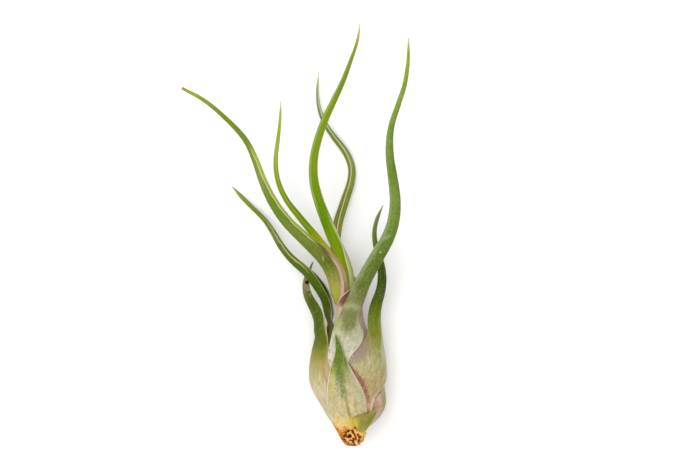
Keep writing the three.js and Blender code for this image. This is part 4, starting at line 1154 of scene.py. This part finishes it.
def tornFibres():
    chance = np.random.default_rng(fibres["seed"])
    low, high = fibres["rootY"]
    aimX, aimY, aimZ = fibres["aim"]
    made = []
    for k in range(fibres["count"]):
        turn = math.radians(chance.uniform(*fibres["turn"]))
        y = chance.uniform(stem["crownEnd"] + low, stem["crownEnd"] + high)
        reach = fibres["rootRadius"] + fibres["widening"] * (y - stem["crownEnd"])
        right, up = math.sin(turn), math.cos(turn)
        start = Vector((float(axisX(y)) + reach * right, y, bulb["axisHeight"] + reach * up))
        way = Vector((right * aimX, aimY + chance.uniform(*fibres["stray"]), up * aimZ))
        length = fibres["length"] * chance.uniform(*fibres["shares"])
        end = start + way.normalized() * length
        end.y = max(end.y, stem["crownEnd"] - fibres["pastEnd"])
        tone = chance.uniform(*fibres["tones"])
        made.append(tornCone("fibre", start, end, fibres["radii"], 1, (tone, tone), fibres["sides"], 0))
    return made


corkLook = {
    "grain": 0.6, "grainDetail": 5.0, "grainRoughness": 0.65,      # mm, torn cell walls
    "grainShare": 0.9, "tones": (0.35, 1.5),
    "stops": [(0, "#edc684"), (0.2, "#dc9c46"), (0.42, "#bb7020"), (0.62, "#7e3e0c"), (1, "#2a0e04")],
    "bump": 0.8, "bumpHeight": 0.3, "roughness": 0.75, "specular": 0.2,
}


def tornCork(name):
    # Dead stem tissue, torn across: corky golden walls round dark cavities, dull and dry. The cavities'
    # darkness is partly painted shade, set by the deep attribute.
    material, tree = newMaterial(name)
    place = addNode(tree, "ShaderNodeTexCoord", output="Object")
    place = addNode(tree, "ShaderNodeVectorMath", {0: place, "Scale": 1 / mm}, operation="SCALE")
    grain = addNode(tree, "ShaderNodeTexNoise", {
        "Vector": place, "Scale": 1 / corkLook["grain"],
        "Detail": corkLook["grainDetail"], "Roughness": corkLook["grainRoughness"]})
    deep = addNode(tree, "ShaderNodeAttribute", output="Vector", attribute_name="deep")
    deep = addNode(tree, "ShaderNodeSeparateXYZ", {0: deep})
    share, (low, high) = corkLook["grainShare"], corkLook["tones"]
    tone = addNode(tree, "ShaderNodeMath", {0: grain, 1: share, 2: deep}, operation="MULTIPLY_ADD")
    tone = addNode(tree, "ShaderNodeMapRange", {0: tone, 1: low, 2: high})
    colour = addNode(tree, "ShaderNodeValToRGB", {0: tone})
    fillRamp(colour.node.color_ramp, corkLook["stops"])
    bump = addNode(tree, "ShaderNodeBump", {"Height": grain, "Strength": corkLook["bump"],
                                            "Distance": corkLook["bumpHeight"] * mm})
    shader = addNode(tree, "ShaderNodeBsdfPrincipled", {
        "Base Color": colour, "Roughness": corkLook["roughness"], "Normal": bump,
        "Specular IOR Level": corkLook["specular"]})
    addNode(tree, "ShaderNodeOutputMaterial", {0: shader})
    return material


stemPoints, stemTone = stemSurface()
stemPiece = gridPiece("tornStem", stemPoints, {"deep": stemTone})
extras = tornFibres()
for flake in baseFlakes:
    extras.append(tornCone("flake", *flake, flakeBuild["sides"], flakeBuild["rings"]))
deselectAll()
for extra in extras:
    extra.select_set(True)
stemPiece.select_set(True)
bpy.context.view_layer.objects.active = stemPiece
bpy.ops.object.join()
finishPiece(stemPiece, "stem", tornCork("dryStemFibre"))
print("made tornStem", len(stemPiece.data.polygons), "faces")

# The camera looks straight down on the plant
cameraPlace = {"at": (0.00077, 0.0523, 0.75), "lens": 100, "sensor": 36}

cameraData = bpy.data.cameras.new("camera")
cameraData.lens = cameraPlace["lens"]
cameraData.sensor_width = cameraPlace["sensor"]
camera = bpy.data.objects.new("camera", cameraData)
camera.location = cameraPlace["at"]
bpy.context.scene.collection.objects.link(camera)
bpy.context.scene.camera = camera

floorLook = {"size": 6, "height": -0.0001, "colour": "#fbfbfb", "roughness": 0.9}     # metres

deselectAll()
bpy.ops.mesh.primitive_plane_add(size=floorLook["size"], location=(0, 0, floorLook["height"]))
floor = bpy.context.object
floor.name = "floor"
bpy.ops.object.transform_apply(location=True, rotation=True, scale=True)
material, tree = newMaterial("mattPaper")
shader = addNode(tree, "ShaderNodeBsdfPrincipled", {"Base Color": hexColour(floorLook["colour"]),
                                                    "Roughness": floorLook["roughness"]})
addNode(tree, "ShaderNodeOutputMaterial", {0: shader})
floor.data.materials.append(material)

lights = [      # sizes and places in metres, power in watts
    {"name": "softTop", "at": (-0.14, 0.16, 1.3), "size": 1.0, "power": 12.4},
    {"name": "softLeft", "at": (-1.1, 0.3, 0.7), "size": 0.8, "power": 4},
    {"name": "softFoot", "at": (0.3, -1.0, 0.8), "size": 0.9, "power": 2.6},
]
lightsAim = Vector((0, 0.05, 0))      # the middle of the plant
for light in lights:
    data = bpy.data.lights.new(light["name"], "AREA")
    data.shape = "SQUARE"
    data.size = light["size"]
    data.energy = light["power"]
    lamp = bpy.data.objects.new(light["name"], data)
    lamp.location = light["at"]
    aim = lightsAim - lamp.location
    lamp.rotation_euler = aim.to_track_quat("-Z", "Y").to_euler()
    bpy.context.scene.collection.objects.link(lamp)

roomLight = {"colour": "#ffffff", "strength": 0.52}

world = bpy.data.worlds.new("whiteRoom")
world.use_nodes = True
background = world.node_tree.nodes["Background"]
background.inputs["Color"].default_value = hexColour(roomLight["colour"])
background.inputs["Strength"].default_value = roomLight["strength"]
bpy.context.scene.world = world
bpy.context.scene.view_settings.view_transform = "Standard"
print("camera, floor and lights are in place")

bpy.context.view_layer.update()
